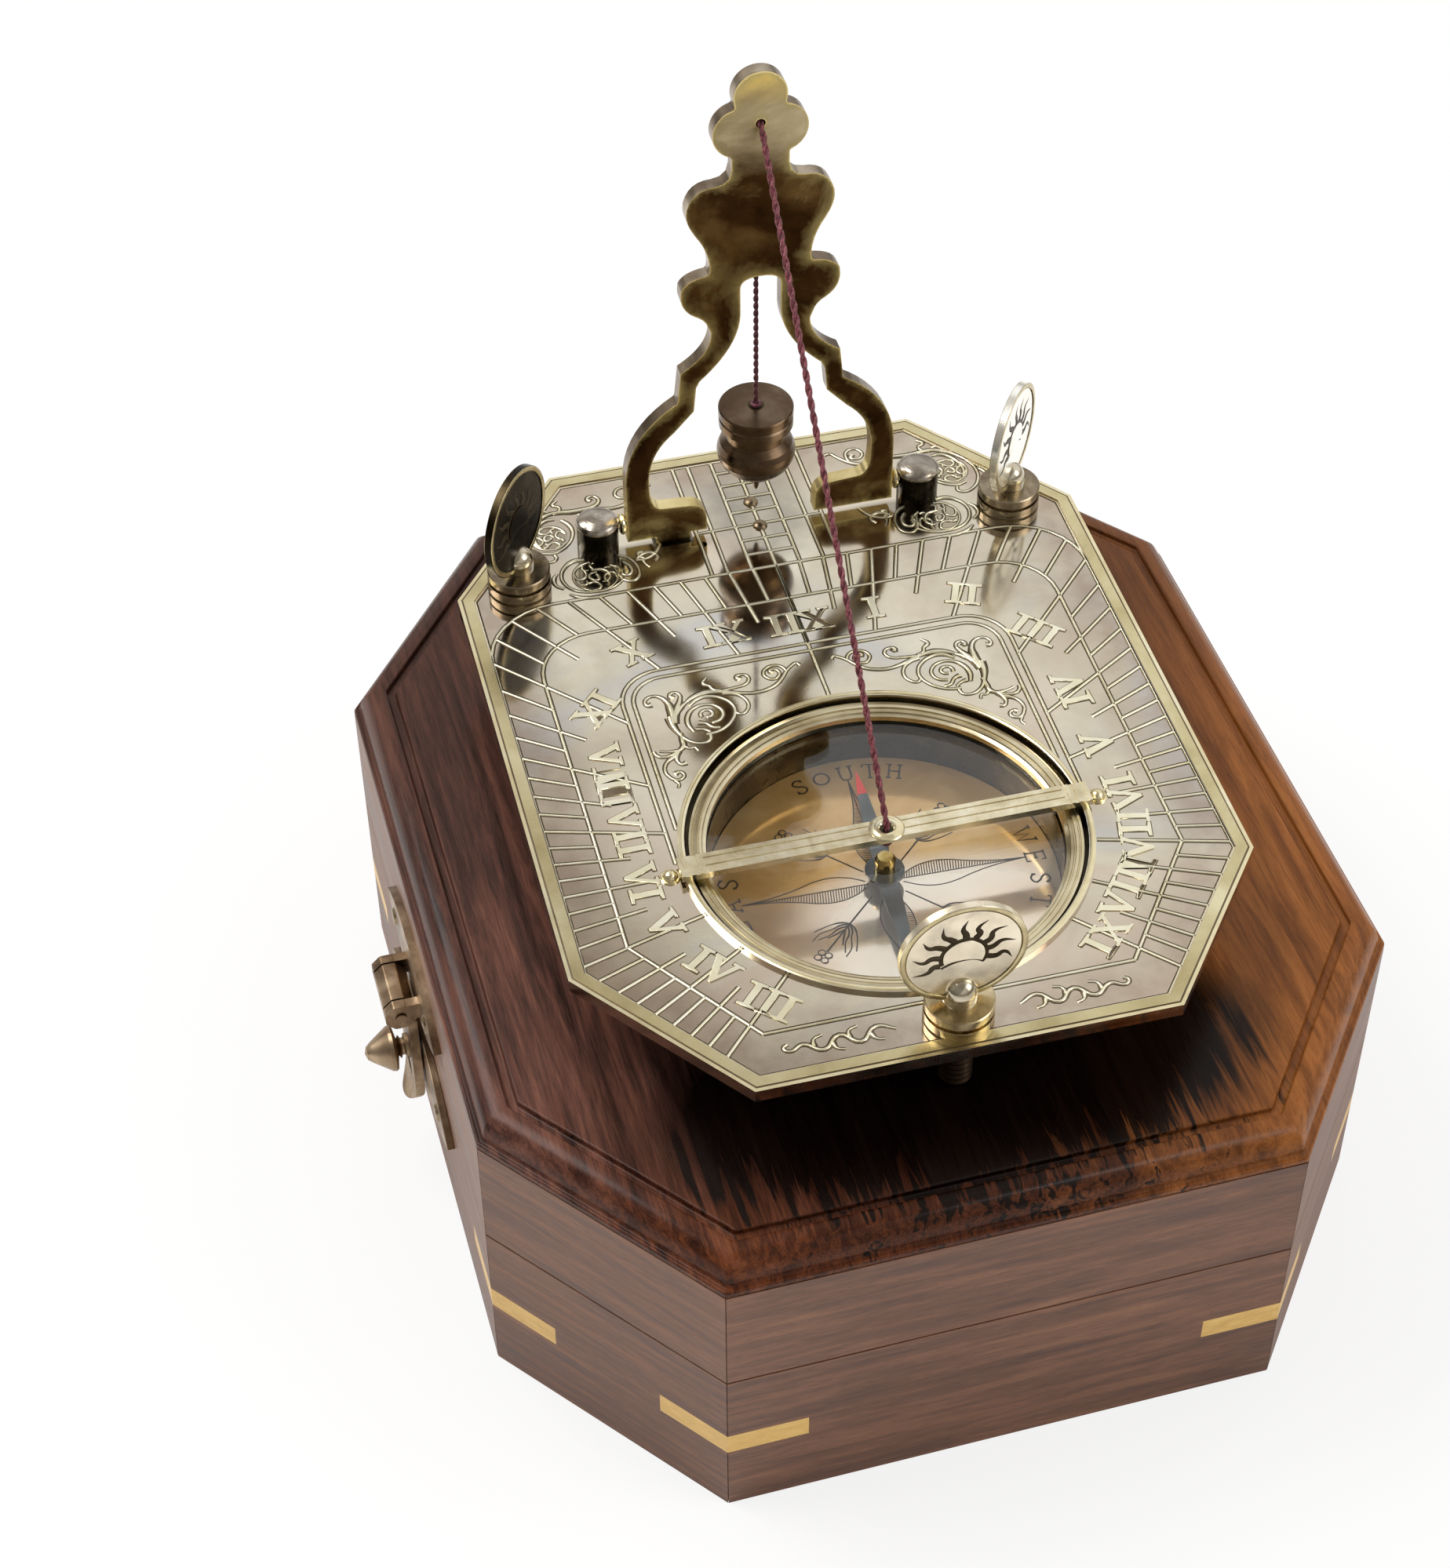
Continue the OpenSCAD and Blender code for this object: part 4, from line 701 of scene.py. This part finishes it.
corner_scroll += pens(
    ((.7, 1.2, 1.3, 1), -316, 364, -306, 355, -290, 349, -272, 347, -255, 350),
    ((.7, 1.4, 1), -324, 414, -332, 402, -331, 387, -321, 377),
    ((1, 1.4, 1.2), -222, 416, -214, 402, -217, 387, -227, 386, -229, 399),
    ((.8, 1.3, 1.4, 1.2), -200, 418, -189, 426, -176, 426, -168, 416, -173, 406),
    ((.7, 1.3, 1.2), -359, 454, -370, 463, -372, 478, -366, 490),
    ((.7, 1.3, 1.2), -336, 540, -332, 554, -320, 562, -309, 559),
    ((.7, 1.2, 1.4), -264, 542, -256, 530, -260, 518, -270, 517))
# The bare front panel gets a plain wave scroll on each side of the screw
panel_scroll = pens(
    ((.8, 1.2, 1.3, 1.3, 1.3, 1.2, 1), -85, -576, -110, -566, -135, -586, -160, -568, -185, -587, -210, -572,
     -230, -579, -236, -572, -230, -567),
    ((1.6, .8), -120, -576, -114, -586, -104, -589),
    ((1.6, .8), -148, -576, -146, -564, -134, -559),
    ((1.6, .8), -172, -579, -168, -589, -158, -593),
    ((1.6, .8), -197, -579, -194, -567, -182, -562))
scrolls = [stroke([(side * x, y) for x, y in points], widths, smooth=True)
           for points, widths in compass_scroll + corner_scroll + panel_scroll for side in (1, -1)]

for name, strokes, width, height, material in (
        ("dial_lines", straight + hour_lines, 0.44, 0.13, line_brass),
        ("dial_line_patina", straight + hour_lines, 0.78, 0.02, patina),
        ("dial_scrolls", scrolls, 0.38, 0.14, line_brass),
        ("dial_scroll_patina", scrolls, 0.70, 0.018, patina)):
    finished(drawn(strokes, width, height), name, "dial", "plate_brass", material)

# ---------------------------------------------------------------- hour numerals
# Each letter's width and its outline, for a height of 1
LETTERS = {
    "I": (.56, [(-.29, 0), (.29, 0), (.29, .07), (.1, .1), (.1, .9), (.29, .93), (.29, 1), (-.29, 1), (-.29, .93),
               (-.1, .9), (-.1, .1), (-.29, .07)]),
    "V": (1, [(-.54, 1), (-.12, 1), (-.12, .93), (-.23, .91), (.05, .27), (.26, .91), (.16, .93), (.16, 1),
             (.52, 1), (.52, .93), (.41, .91), (.05, 0), (-.06, 0), (-.44, .91), (-.54, .93)]),
    "X": (1, [(-.52, 1), (-.1, 1), (-.1, .93), (-.19, .91), (.03, .62), (.23, .91), (.14, .93), (.14, 1), (.5, 1),
             (.5, .93), (.38, .91), (.1, .52), (.41, .09), (.52, .07), (.52, 0), (.1, 0), (.1, .07), (.18, .09),
             (-.04, .41), (-.26, .09), (-.17, .07), (-.17, 0), (-.52, 0), (-.52, .07), (-.41, .09), (-.1, .5),
             (-.41, .91), (-.52, .93)]),
}
NUMERAL_H = 4.5
# Hours on the right: numeral, place, and the way its foot points, in degrees from the noon line
hour_places = [("I", 11.5, 22.0, 3), ("II", 25.4, 21.5, 22), ("III", 33.2, 11.1, 46), ("IV", 34.2, -2.4, 88),
               ("V", 34.2, -14.0, 90), ("VI", 34.5, -24.0, 90), ("VII", 33.4, -32.3, 103),
               ("VIII", 29.0, -41.2, 128), ("IX", 23.3, -49.1, 136)]
morning = ["XI", "X", "IX", "VIII", "VII", "VI", "V", "IV", "III"]
numerals = [("XII", 0.0, 21.7, 0)] + hour_places
numerals += [(word, -x, y, -turn) for word, (_, x, y, turn) in zip(morning, hour_places)]

outlines = []
for word, x, y, turn in numerals:
    pen = -sum(LETTERS[letter][0] for letter in word) / 2
    around = Matrix.Translation((x, y, 0)) @ Matrix.Rotation(math.radians(180 - turn), 4, "Z")
    for letter in word:
        advance, outline = LETTERS[letter]
        spots = [around @ Vector(((pen + advance / 2 + u) * NUMERAL_H, (v - 0.5) * NUMERAL_H, 0))
                 for u, v in outline]
        outlines.append([(spot.x, spot.y) for spot in spots])
        pen += advance
finished(cut_out(outlines, 0.12, bevel_depth=0.04, bevel_resolution=1), "hour_numerals", "dial", "plate_brass",
         line_brass)
finished(cut_out(outlines, 0.018, offset=0.2), "numeral_patina", "dial", "plate_brass", patina)

# ---------------------------------------------------------------- border band, lip and small trim
for name, outer, inner, low, high, edge, material in (
        ("border_band", 0.75, 2.3, 0.1, 0.36, 0.12, band_brass),
        ("plate_rim", 0.0, 0.5, 0.05, 0.30, 0.14, rim_brass),
        ("rim_groove", 0.4, 0.85, 0.2, 0.262, 0.01, patina)):
    ring = cut_out([plate_outline(outer), plate_outline(inner)], (high - low) / 2, (low + high) / 2)
    bevel(ring, edge, 3)
    bpy.ops.object.modifier_apply(modifier="rounding")
    smooth_to(40)
    finished(ring, name, "dial", "plate_brass", material)

lathe("well_lip", "dial", "plate_brass", rim_brass,
      [(27.95, 0.3), (28.75, 0.3), (28.85, 0.58), (28.65, 0.7), (28.15, 0.7), (27.95, 0.58)])


# ---------------------------------------------------------------- compass card
def petal(turn):
    """One leaf of the rose: outline and middle line, then the hatching of one half."""
    half = [(2.6, 0.6), (4.6, 1.7), (7.0, 2.3), (9.6, 2.1), (12.6, 1.2), (16.0, 0.45), (20.4, 0.0)]
    strokes = [stroke(swung([(x, s * y) for x, y in half], turn), smooth=True) for s in (-1, 1)]
    strokes.append(stroke(swung([(2.4, 0), (20.6, 0)], turn)))
    hatch = []
    for i in range(44):
        x = 3.1 + 0.38 * i
        for (x0, y0), (x1, y1) in zip(half, half[1:]):
            if x0 <= x <= x1:
                top = y0 + (y1 - y0) * (x - x0) / (x1 - x0)
                hatch.append(stroke(swung([(x - 0.25, 0), (x + 0.1, top)], turn)))
    return strokes, hatch


def sprig(turn):
    """A thin diagonal ending in leaf sprays and a small flower."""
    leaves = [[(3.4, 0), (15.6, 0)]]
    for s in (-1, 1):
        leaves += [[(9.6, 0), (10.3, s * 0.9), (11.6, s * 1.5), (13.2, s * 2.5), (15.0, s * 2.7)],
                   [(9.9, 0), (11.2, s * 0.9), (12.6, s * 1.2), (14.4, s * 2.2)],
                   [(9.4, 0), (9.9, s * 1.1), (11.0, s * 2.1), (12.4, s * 2.9), (13.4, s * 3.4)],
                   [(10.6, 0), (12.0, s * 0.55), (13.4, s * 1.2)]]
    leaves += [arc(x, y, 0.5, 0, 360, 6) for x, y in arc(16.6, 0, 0.75, 45, 315, 3)]
    return [stroke(swung(points, turn), (1.2, 1.6, 1.0), smooth=len(points) > 2) for points in leaves]


# Letters as pen strokes, each with its width first
SERIF = {
    "S": (.72, [[(.6, .82), (.44, .98), (.2, .95), (.08, .76), (.24, .58), (.48, .45), (.62, .25), (.48, .04),
                (.2, .02), (.06, .2)], [(.6, .98), (.6, .76)], [(.06, .03), (.06, .25)]]),
    "O": (0.92, [arc(0.42, 0.5, 0.42, 0, 360, 16)]),
    "U": (.92, [[(.14, 1), (.14, .3), (.24, .06), (.44, 0), (.64, .06), (.74, .3), (.74, 1)], [(0, 1), (.28, 1)],
                [(.6, 1), (.88, 1)]]),
    "T": (.86, [[(.4, 0), (.4, 1)], [(.02, .8), (.02, 1), (.78, 1), (.78, .8)], [(.26, 0), (.54, 0)]]),
    "H": (.92, [[(.14, 0), (.14, 1)], [(.7, 0), (.7, 1)], [(.14, .52), (.7, .52)], [(0, 0), (.28, 0)], [(0, 1),
                (.28, 1)], [(.56, 0), (.84, 0)], [(.56, 1), (.84, 1)]]),
    "W": (1.16, [[(.1, 1), (.34, 0), (.57, .8), (.8, 0), (1.04, 1)], [(-.02, 1), (.24, 1)], [(.9, 1),
                (1.16, 1)]]),
    "E": (.8, [[(.14, 0), (.14, 1)], [(.02, 1), (.66, 1), (.66, .8)], [(.02, 0), (.7, 0), (.7, .2)], [(.14, .52),
                (.5, .52)], [(.5, .62), (.5, .42)]]),
    "N": (.94, [[(.12, 0), (.12, 1), (.7, 0), (.7, 1)], [(0, 0), (.26, 0)], [(-.02, 1), (.14, 1)], [(.56, 1),
                (.84, 1)]]),
    "A": (.88, [[(.06, 0), (.4, 1), (.76, 0)], [(.18, .36), (.62, .36)], [(-.06, 0), (.2, 0)], [(.6, 0),
                (.9, 0)]]),
    "R": (.86, [[(.14, 0), (.14, 1)], [(.02, 1), (.45, 1), (.64, .86), (.62, .62), (.42, .5), (.14, .5)],
                [(.36, .5), (.7, 0)], [(.02, 0), (.28, 0)], [(.6, 0), (.84, 0)]]),
}
CARD = DIAL @ Matrix.Translation((0, COMPASS_Y * MM, -9.7 * MM)) @ Matrix.Rotation(math.radians(-1.5), 4, "Z")
LETTER_H, LETTER_R = 2.7, 20.6
rose, hatching, words = [], [], []
for turn in (0, 90, 180, 270):
    outline, fill = petal(turn)
    rose += outline + sprig(turn + 45)
    hatching += fill
for word, middle, step in (("SOUTH", 90, 9.4), ("WEST", -6, 11.2), ("EAST", 174, 11.2), ("NORTH", -90, 9.4)):
    for i, letter in enumerate(word):
        angle = middle - (i - (len(word) - 1) / 2) * step
        width, parts = SERIF[letter]
        for points in parts:
            spots = [((u - width / 2) * LETTER_H, LETTER_R + LETTER_H * v) for u, v in points]
            words.append(stroke(swung(spots, angle - 90), smooth=letter == "S" and len(points) > 4))
for name, strokes, width, height, level in (
        ("card_rose", rose, 0.20, 0.03, 0.0), ("card_hatching", hatching, 0.15, 0.02, 0.0),
        ("card_letters", words, 0.30, 0.02, 0.01)):
    finished(drawn(strokes, width, height, level, CARD), name, "dial", "card_brass", ink)

# ---------------------------------------------------------------- suns on the thumb discs
DISC_R = 8.6
DISC_T = 1.15
DISC_Z = 3.6 + 0.4 + DISC_R
# The left disc's brass carries painted shade and the right disc's a painted reflection
SCREWS = (("front", 0.0, -57.5, 0, disc_face), ("left", -38.4, 40.3, 51, disc_painted_shade),
          ("right", 38.4, 40.3, 52, disc_painted_glare))
# A half sun over a horizon with nine flames, each from its root to its tip
flames = [
    [(-3.1, -1.7), (-4, -1.7), (-4.7, -2.5), (-6.8, -2.75)], [(-3, -.2), (-4.4, 0), (-5.3, -.5), (-6.9, .4)],
    [(-2.6, 1.5), (-3.7, 2), (-4.7, 2.1), (-5.6, 3.35)], [(-1.3, 2.5), (-2, 3.1), (-2.8, 3.7), (-2.95, 5.5)],
    [(.2, 2.8), (.1, 3.5), (-.3, 4.5), (.3, 6.1)], [(1.5, 2.5), (2, 3.3), (1.7, 4.2), (3.05, 5.5)], [(2.7, 1.3),
    (3.5, 1.9), (3.8, 3.1), (5.7, 3.7)], [(3, .1), (3.9, .3), (5, 1.1), (6.9, .75)], [(3, -1.3), (4.4, -1.6),
    (5.4, -1.1), (6.6, -2.5)]]
hollow = [stroke(path, (2.4, 2.2, 1.6, 0.15), smooth=True) for path in flames]
hollow += [stroke([(-3.0, -2.2), (-1.5, -1.55), (0.2, -1.3), (1.6, -1.5), (2.8, -2.2)], smooth=True),
           stroke(arc(0, -0.5, 3.1, 202, -30, 16), (1.25,), smooth=True)]
sun = arc(0, -0.5, 2.85, 200, -28, 24) + [(1.4, -1.4), (0, -1.15), (-1.4, -1.2)]
disc_edge = stroke(arc(0, 0, DISC_R - 0.45, 0, 360, 96)[:-1], closed=True)

for side, x, y, turn, material in SCREWS:
    # Across the disc's face: x to the right and y up, z out of the face
    upright = Matrix.Rotation(math.radians(turn), 4, "Z") @ Matrix.Rotation(math.radians(90), 4, "X")
    front = DIAL @ Matrix.Translation((x * MM, y * MM, DISC_Z * MM)) @ upright
    body = side + "_head"
    finished(drawn(hollow, 0.42, 0.03, DISC_T / 2 - 0.115, front), side + "_rays", body, "plate_brass", disc_sink)
    finished(cut_out([sun], 0.1, DISC_T / 2 - 0.14, front, bevel_depth=0.08, bevel_resolution=2, offset=-0.08),
             side + "_sun", body, "plate_brass", material)
    for end, level in (("_rim_front", DISC_T / 2 - 0.02), ("_rim_back", 0.02 - DISC_T / 2)):
        finished(drawn([disc_edge], 0.85, 0.05, level, front), side + end, body, "plate_brass", rim_gold)

# Stems with a few turns of thread showing, and rods threaded below the plate
STEM_R = 2.3
for side, x, y, _, _ in SCREWS:
    profile = [(0.0, 2.9), (STEM_R, 2.9), (STEM_R, 3.5)]
    for i in range(4):
        z = 3.62 + 0.38 * i
        profile += [(STEM_R - 0.24, z), (STEM_R, z + 0.1), (STEM_R, z + 0.22), (STEM_R - 0.24, z + 0.32)]
    profile += arc(0, 5.12, STEM_R, 0, 80, 8) + [(0.0, 5.1 + STEM_R)]
    stem = lathe(side + "_stem_dressed", side + "_head", "aged_brass", stem_brass, profile, (x, y), 48)
    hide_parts(side + "_stem")
    profile = [(0.0, -13.6), (0.9, -13.6), (1.0, -13.45), (1.9, -12.3)]
    for i in range(9):
        z = -11.9 + i
        profile += [(1.95, z), (STEM_R, z + 0.38), (STEM_R, z + 0.52), (1.95, z + 0.9)]
    profile += [(STEM_R, -2.7), (STEM_R, 2.88), (0.0, 2.88)]
    rod = lathe(side + "_rod_dressed", side + "_rod", "aged_brass", shaded_rod_brass, profile, (x, y), 40)
    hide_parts(side + "_screw")

bezel = lathe("bezel_dressed", "dial", "bright_brass", bezel_brass,
              [(24.9, -1.7), (27.38, -1.7), (27.38, -0.45), (27.28, -0.25), (26.95, -0.22), (26.85, -0.34),
               (26.72, -0.34), (26.62, -0.22), (26.2, -0.24), (26.1, -0.5), (25.95, -0.52), (25.85, -0.42),
               (25.5, -0.5), (25.4, -0.75), (25.2, -0.85), (24.9, -0.95)], steps=192)
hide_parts("bezel_ring")
eyelet = lathe("eyelet_dressed", "dial", "bright_brass", rim_brass,
               [(0.92, 0.6), (1.5, 0.6), (1.5, 1.5), (2.45, 1.5), (2.5, 1.62), (2.35, 1.76), (1.9, 1.8),
                (1.75, 1.9), (1.35, 1.9), (1.1, 1.86), (0.95, 1.7)], steps=64)
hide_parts("thread_eyelet")
# A dark disc in the eyelet's hole: painted shade
lathe("eyelet_hole_shade", "dial", "bright_brass", bowl_brass, [(0.0, 0.62), (0.93, 0.62), (0.93, 1.45), (0.0, 1.45)],
      steps=32)
for side, x in (("left", -30.65), ("right", 30.65)):
    dome = [(1.05 * math.cos(math.radians(a)), 0.2 + 0.95 * math.sin(math.radians(a))) for a in range(0, 90, 12)]
    profile = [(0.0, 0.0), (1.42, 0.0), (1.42, 0.16), (1.3, 0.24), (1.1, 0.2)] + dome + [(0.0, 1.15)]
    lathe(side + "_stud_head", "dial", "bright_brass", rim_brass, profile, (x, COMPASS_Y), 40)


# ---------------------------------------------------------------- threads
def smooth_path(points, step=0.16):
    """Resample a path of points at an even step."""
    out, carry = [points[0].copy()], 0.0
    for a, b in zip(points, points[1:]):
        length = (b - a).length
        t = step - carry
        while t <= length:
            out.append(a.lerp(b, t / length))
            t += step
        carry = length - (t - step)
    if (out[-1] - points[-1]).length > 1e-5:
        out.append(points[-1].copy())
    return out


def twisted(path, radius, pitch, plies=2, sides=8):
    """A thread of twisted plies laid along a path, as one mesh in the instrument's millimetres."""
    verts, faces = [], []
    ply_r = radius * 0.54
    up = Vector((1, 0, 0))
    run = 0.0
    frames = []
    for i, p in enumerate(path):
        ahead = (path[min(i + 1, len(path) - 1)] - path[max(i - 1, 0)]).normalized()
        side = (up - ahead * up.dot(ahead)).normalized()
        if i:
            run += (p - path[i - 1]).length
        frames.append((p, side, ahead.cross(side), run))
    for ply in range(plies):
        first = len(verts)
        for p, side, other, run in frames:
            turn = 2 * math.pi * (run / pitch + ply / plies)
            out = side * math.cos(turn) + other * math.sin(turn)
            round_ = side * -math.sin(turn) + other * math.cos(turn)
            middle = p + out * (radius - ply_r)
            for k in range(sides):
                a = 2 * math.pi * k / sides
                verts.append(tuple(middle + out * ply_r * math.cos(a) + round_ * ply_r * 1.15 * math.sin(a)))
        last = len(verts) - sides
        for i in range(first, last, sides):
            for k in range(sides):
                a, b = i + k, i + (k + 1) % sides
                faces.append((a, b, b + sides, a + sides))
        faces.append(tuple(reversed(range(first, first + sides))))
        faces.append(tuple(range(last, last + sides)))
    mesh = bpy.data.meshes.new("thread")
    mesh.from_pydata(verts, [], faces)
    piece = laid_out("thread", mesh)
    edited(piece, (bpy.ops.mesh.normals_make_consistent, {"inside": False}))
    place(piece)
    bpy.ops.object.shade_smooth()
    return piece


def to_row(points, every=6):
    """Every sixth point of a path and its last one, in metres."""
    thin = points[::every]
    if thin[-1] != points[-1]:
        thin.append(points[-1])
    return [tuple(DIAL @ (p * MM)) for p in thin]


# The style thread: up through the eyelet, straight to the stand's head and through its hole
EYE_TOP = 0.6 + 0.9 + 0.4
face_y = AXLE_Y - 1.1
start = Vector((0, COMPASS_Y + 0.5, EYE_TOP + 0.9))
stop = Vector((0, face_y - 1.1, THREAD_Z - 1))
style_points = [Vector((0, y, z)) for y, z in ((COMPASS_Y, 0.5), (COMPASS_Y, EYE_TOP - 0.4),
                                               (COMPASS_Y + 0.15, EYE_TOP + 0.3))]
style_points += [start.lerp(stop, i / 48) for i in range(49)]
style_points += [Vector((0, face_y + y, THREAD_Z + z))
                 for y, z in ((-0.5, -0.5), (0.1, -0.1), (0.9, 0), (2.2, 0))]
style_path = smooth_path(style_points)
style = finished(twisted(style_path, 0.5, 3.9), "style_thread_twist", None, "thread", red_thread)
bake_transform(style)
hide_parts("style_thread")

# The bob's thread, from behind the head into the bob, with its knot over the painted shade of the bob's hole
bob_y = AXLE_Y + 1.1 + 0.32 + 0.3
bob_points = [Vector((0, bob_y, THREAD_Z - 1.3)), Vector((0, bob_y, 21.5 - 2.5))]
bob_path = smooth_path(bob_points)
bob_cord = finished(twisted(bob_path, 0.40, 2.6), "bob_thread_twist", "bob", "thread", dark_thread)
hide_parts("bob_thread")
lathe("bob_knot", "bob", "thread", dark_thread, arc(0.62, 21.72, 0.3, 0, 315, 7), (0, bob_y), 24)
# A dark disc on the bob's top: painted shade of its hole
lathe("bob_hole_shade", "bob", "aged_brass", disc_sink, [(0.0, 21.3), (1.25, 21.3), (1.25, 21.53), (0.0, 21.53)],
      (0, bob_y), 32)

to_row(style_path)
to_row(bob_path)


# ---------------------------------------------------------------- pieces with softened edges
def worn(piece, step, falloff):
    """Cut a flat piece by a fine grid, then note on each point how near a rounded edge it lies."""
    cuts = []
    for axis in (0, 2):
        across = [v.co[axis] for v in piece.data.vertices]
        for i in range(1, int((max(across) - min(across)) / step)):
            spot, normal = [0, 0, 0], [0, 0, 0]
            spot[axis], normal[axis] = min(across) + step * i, 1
            cuts.append((bpy.ops.mesh.bisect, {"plane_co": spot, "plane_no": normal}))
    edited(piece, *cuts)
    rounded = set()
    for face in piece.data.polygons:
        flat = abs(face.normal.y)
        face.material_index = 1 if flat < 0.3 else 0
        if 0.3 <= flat < 0.97:
            rounded.update(face.vertices)
    tree = KDTree(len(rounded))
    for i in rounded:
        tree.insert(piece.data.vertices[i].co, i)
    tree.balance()
    wear = piece.data.attributes.new("wear", "FLOAT", "POINT")
    for vertex, value in zip(piece.data.vertices, wear.data):
        value.value = math.exp(-tree.find(vertex.co)[2] / falloff)


stand = softened("gnomon_stand", "stand", "aged_brass", 0.26, bronze, bronze_side)
worn(stand, 0.55 * MM, 0.55 * MM)
softened("lid_board", "lid", "top_wood", 0.35, lid_wood, angle=25)
softened("base_walls", "case", "side_wood", 0.3, side_wood)
softened("lid_walls", "lid", "side_wood", 0.25, side_wood)
softened("hasp_plate", "lid", "aged_brass", 0.22, hasp_brass, angle=25)
softened("hasp_tongue", "hasp", "aged_brass", 0.30, hasp_brass, angle=25)
softened("catch_plate", "case", "aged_brass", 0.22, hasp_brass, angle=25)


# ---------------------------------------------------------------- floor, light and camera
def floor_finish():
    """White to the camera and through glass, and plain under the lamps, so that it keeps the shadow."""
    f = Finish("floor_white")
    f.done((0.92, 0.92, 0.92), 0.6)
    camera_ray, glass_ray = (f.node("LightPath", ray, {}) for ray in ("Is Camera Ray", "Is Transmission Ray"))
    seen = f.math("MAXIMUM", camera_ray, glass_ray)
    blend = f.node("MixShader", 0, {0: seen * 0.80, 1: Value(f, f.shader.outputs[0]),
                                    2: f.node("Emission", 0, {"Strength": 1.0})})
    f.feed(f.tree.nodes["Material Output"].inputs["Surface"], blend)
    return f.material


bpy.ops.object.select_all(action="DESELECT")
bpy.ops.mesh.primitive_plane_add(size=6, location=(0, 0, 0))
floor = bpy.context.active_object
floor.name = "floor"
floor.data.materials.append(floor_finish())

world = bpy.data.worlds.new("white_room")
bpy.context.scene.world = world
world.use_nodes = True
room = Wiring(world.node_tree, "Generated")


def eased(value, start, end, low, high):
    return room.between(value, low, high, start, end, interpolation_type="SMOOTHSTEP")


# A white room: brightest behind and to the right, dim at the horizon, in front and to the back left
x, y, z = room.axes()
level = eased(x - (z - 0.7) * 1.2, 0.06, 0.20, 0.5, 1.12) * eased(y, -0.5, 0.3, 0.6, 1.0)
level = level * eased(z, 0.0, 0.5, 0.35, 1.0)
walls = room.ramp(level, (0.0, 0.5, 1.0), ((0.0, 0.0, 0.0), (0.52, 0.49, 0.45), (1.0, 1.0, 1.0)))
background = room.tree.nodes["Background"]
background.inputs["Strength"].default_value = 1.0
room.feed(background.inputs["Color"], room.mix(room.node("LightPath", "Is Camera Ray", {}), walls, (1, 1, 1)))

LAMPS = (("key_light", (-0.55, 0.35, 0.9), 0.7, 9.0), ("fill_light", (0.8, -0.5, 0.7), 0.6, 4.0))
for name, spot, size, watts in LAMPS:
    lamp = bpy.data.lights.new(name, "AREA")
    lamp.shape = "RECTANGLE"
    lamp.size = lamp.size_y = size
    lamp.energy = watts
    piece = laid_out(name, lamp)
    piece.location = spot
    piece.rotation_euler = (Vector((0, 0, 0.05)) - Vector(spot)).to_track_quat("-Z", "Y").to_euler()

# Camera solved on the photograph: its eye in metres, its turn, height and roll, and a focal length in pixels
EYE = Vector((-0.1003235, -0.3018053, 0.3750540))
azimuth, elevation, roll = (math.radians(v) for v in (-15.109, 45.043, -0.647))
FOCAL, PICTURE_H, SENSOR_H = 3954.68, 1999, 24.0
lens = bpy.data.cameras.new("photo_camera")
lens.sensor_fit = "VERTICAL"
lens.sensor_height = SENSOR_H
lens.lens = FOCAL / PICTURE_H * SENSOR_H
lens.clip_start = 0.01
camera = laid_out("photo_camera", lens)
camera.matrix_world = (Matrix.Translation(EYE) @ Matrix.Rotation(azimuth, 4, "Z")
                       @ Matrix.Rotation(math.pi / 2 - elevation, 4, "X") @ Matrix.Rotation(roll, 4, "Z"))
bpy.context.scene.camera = camera
bpy.context.scene.view_settings.view_transform = "Standard"
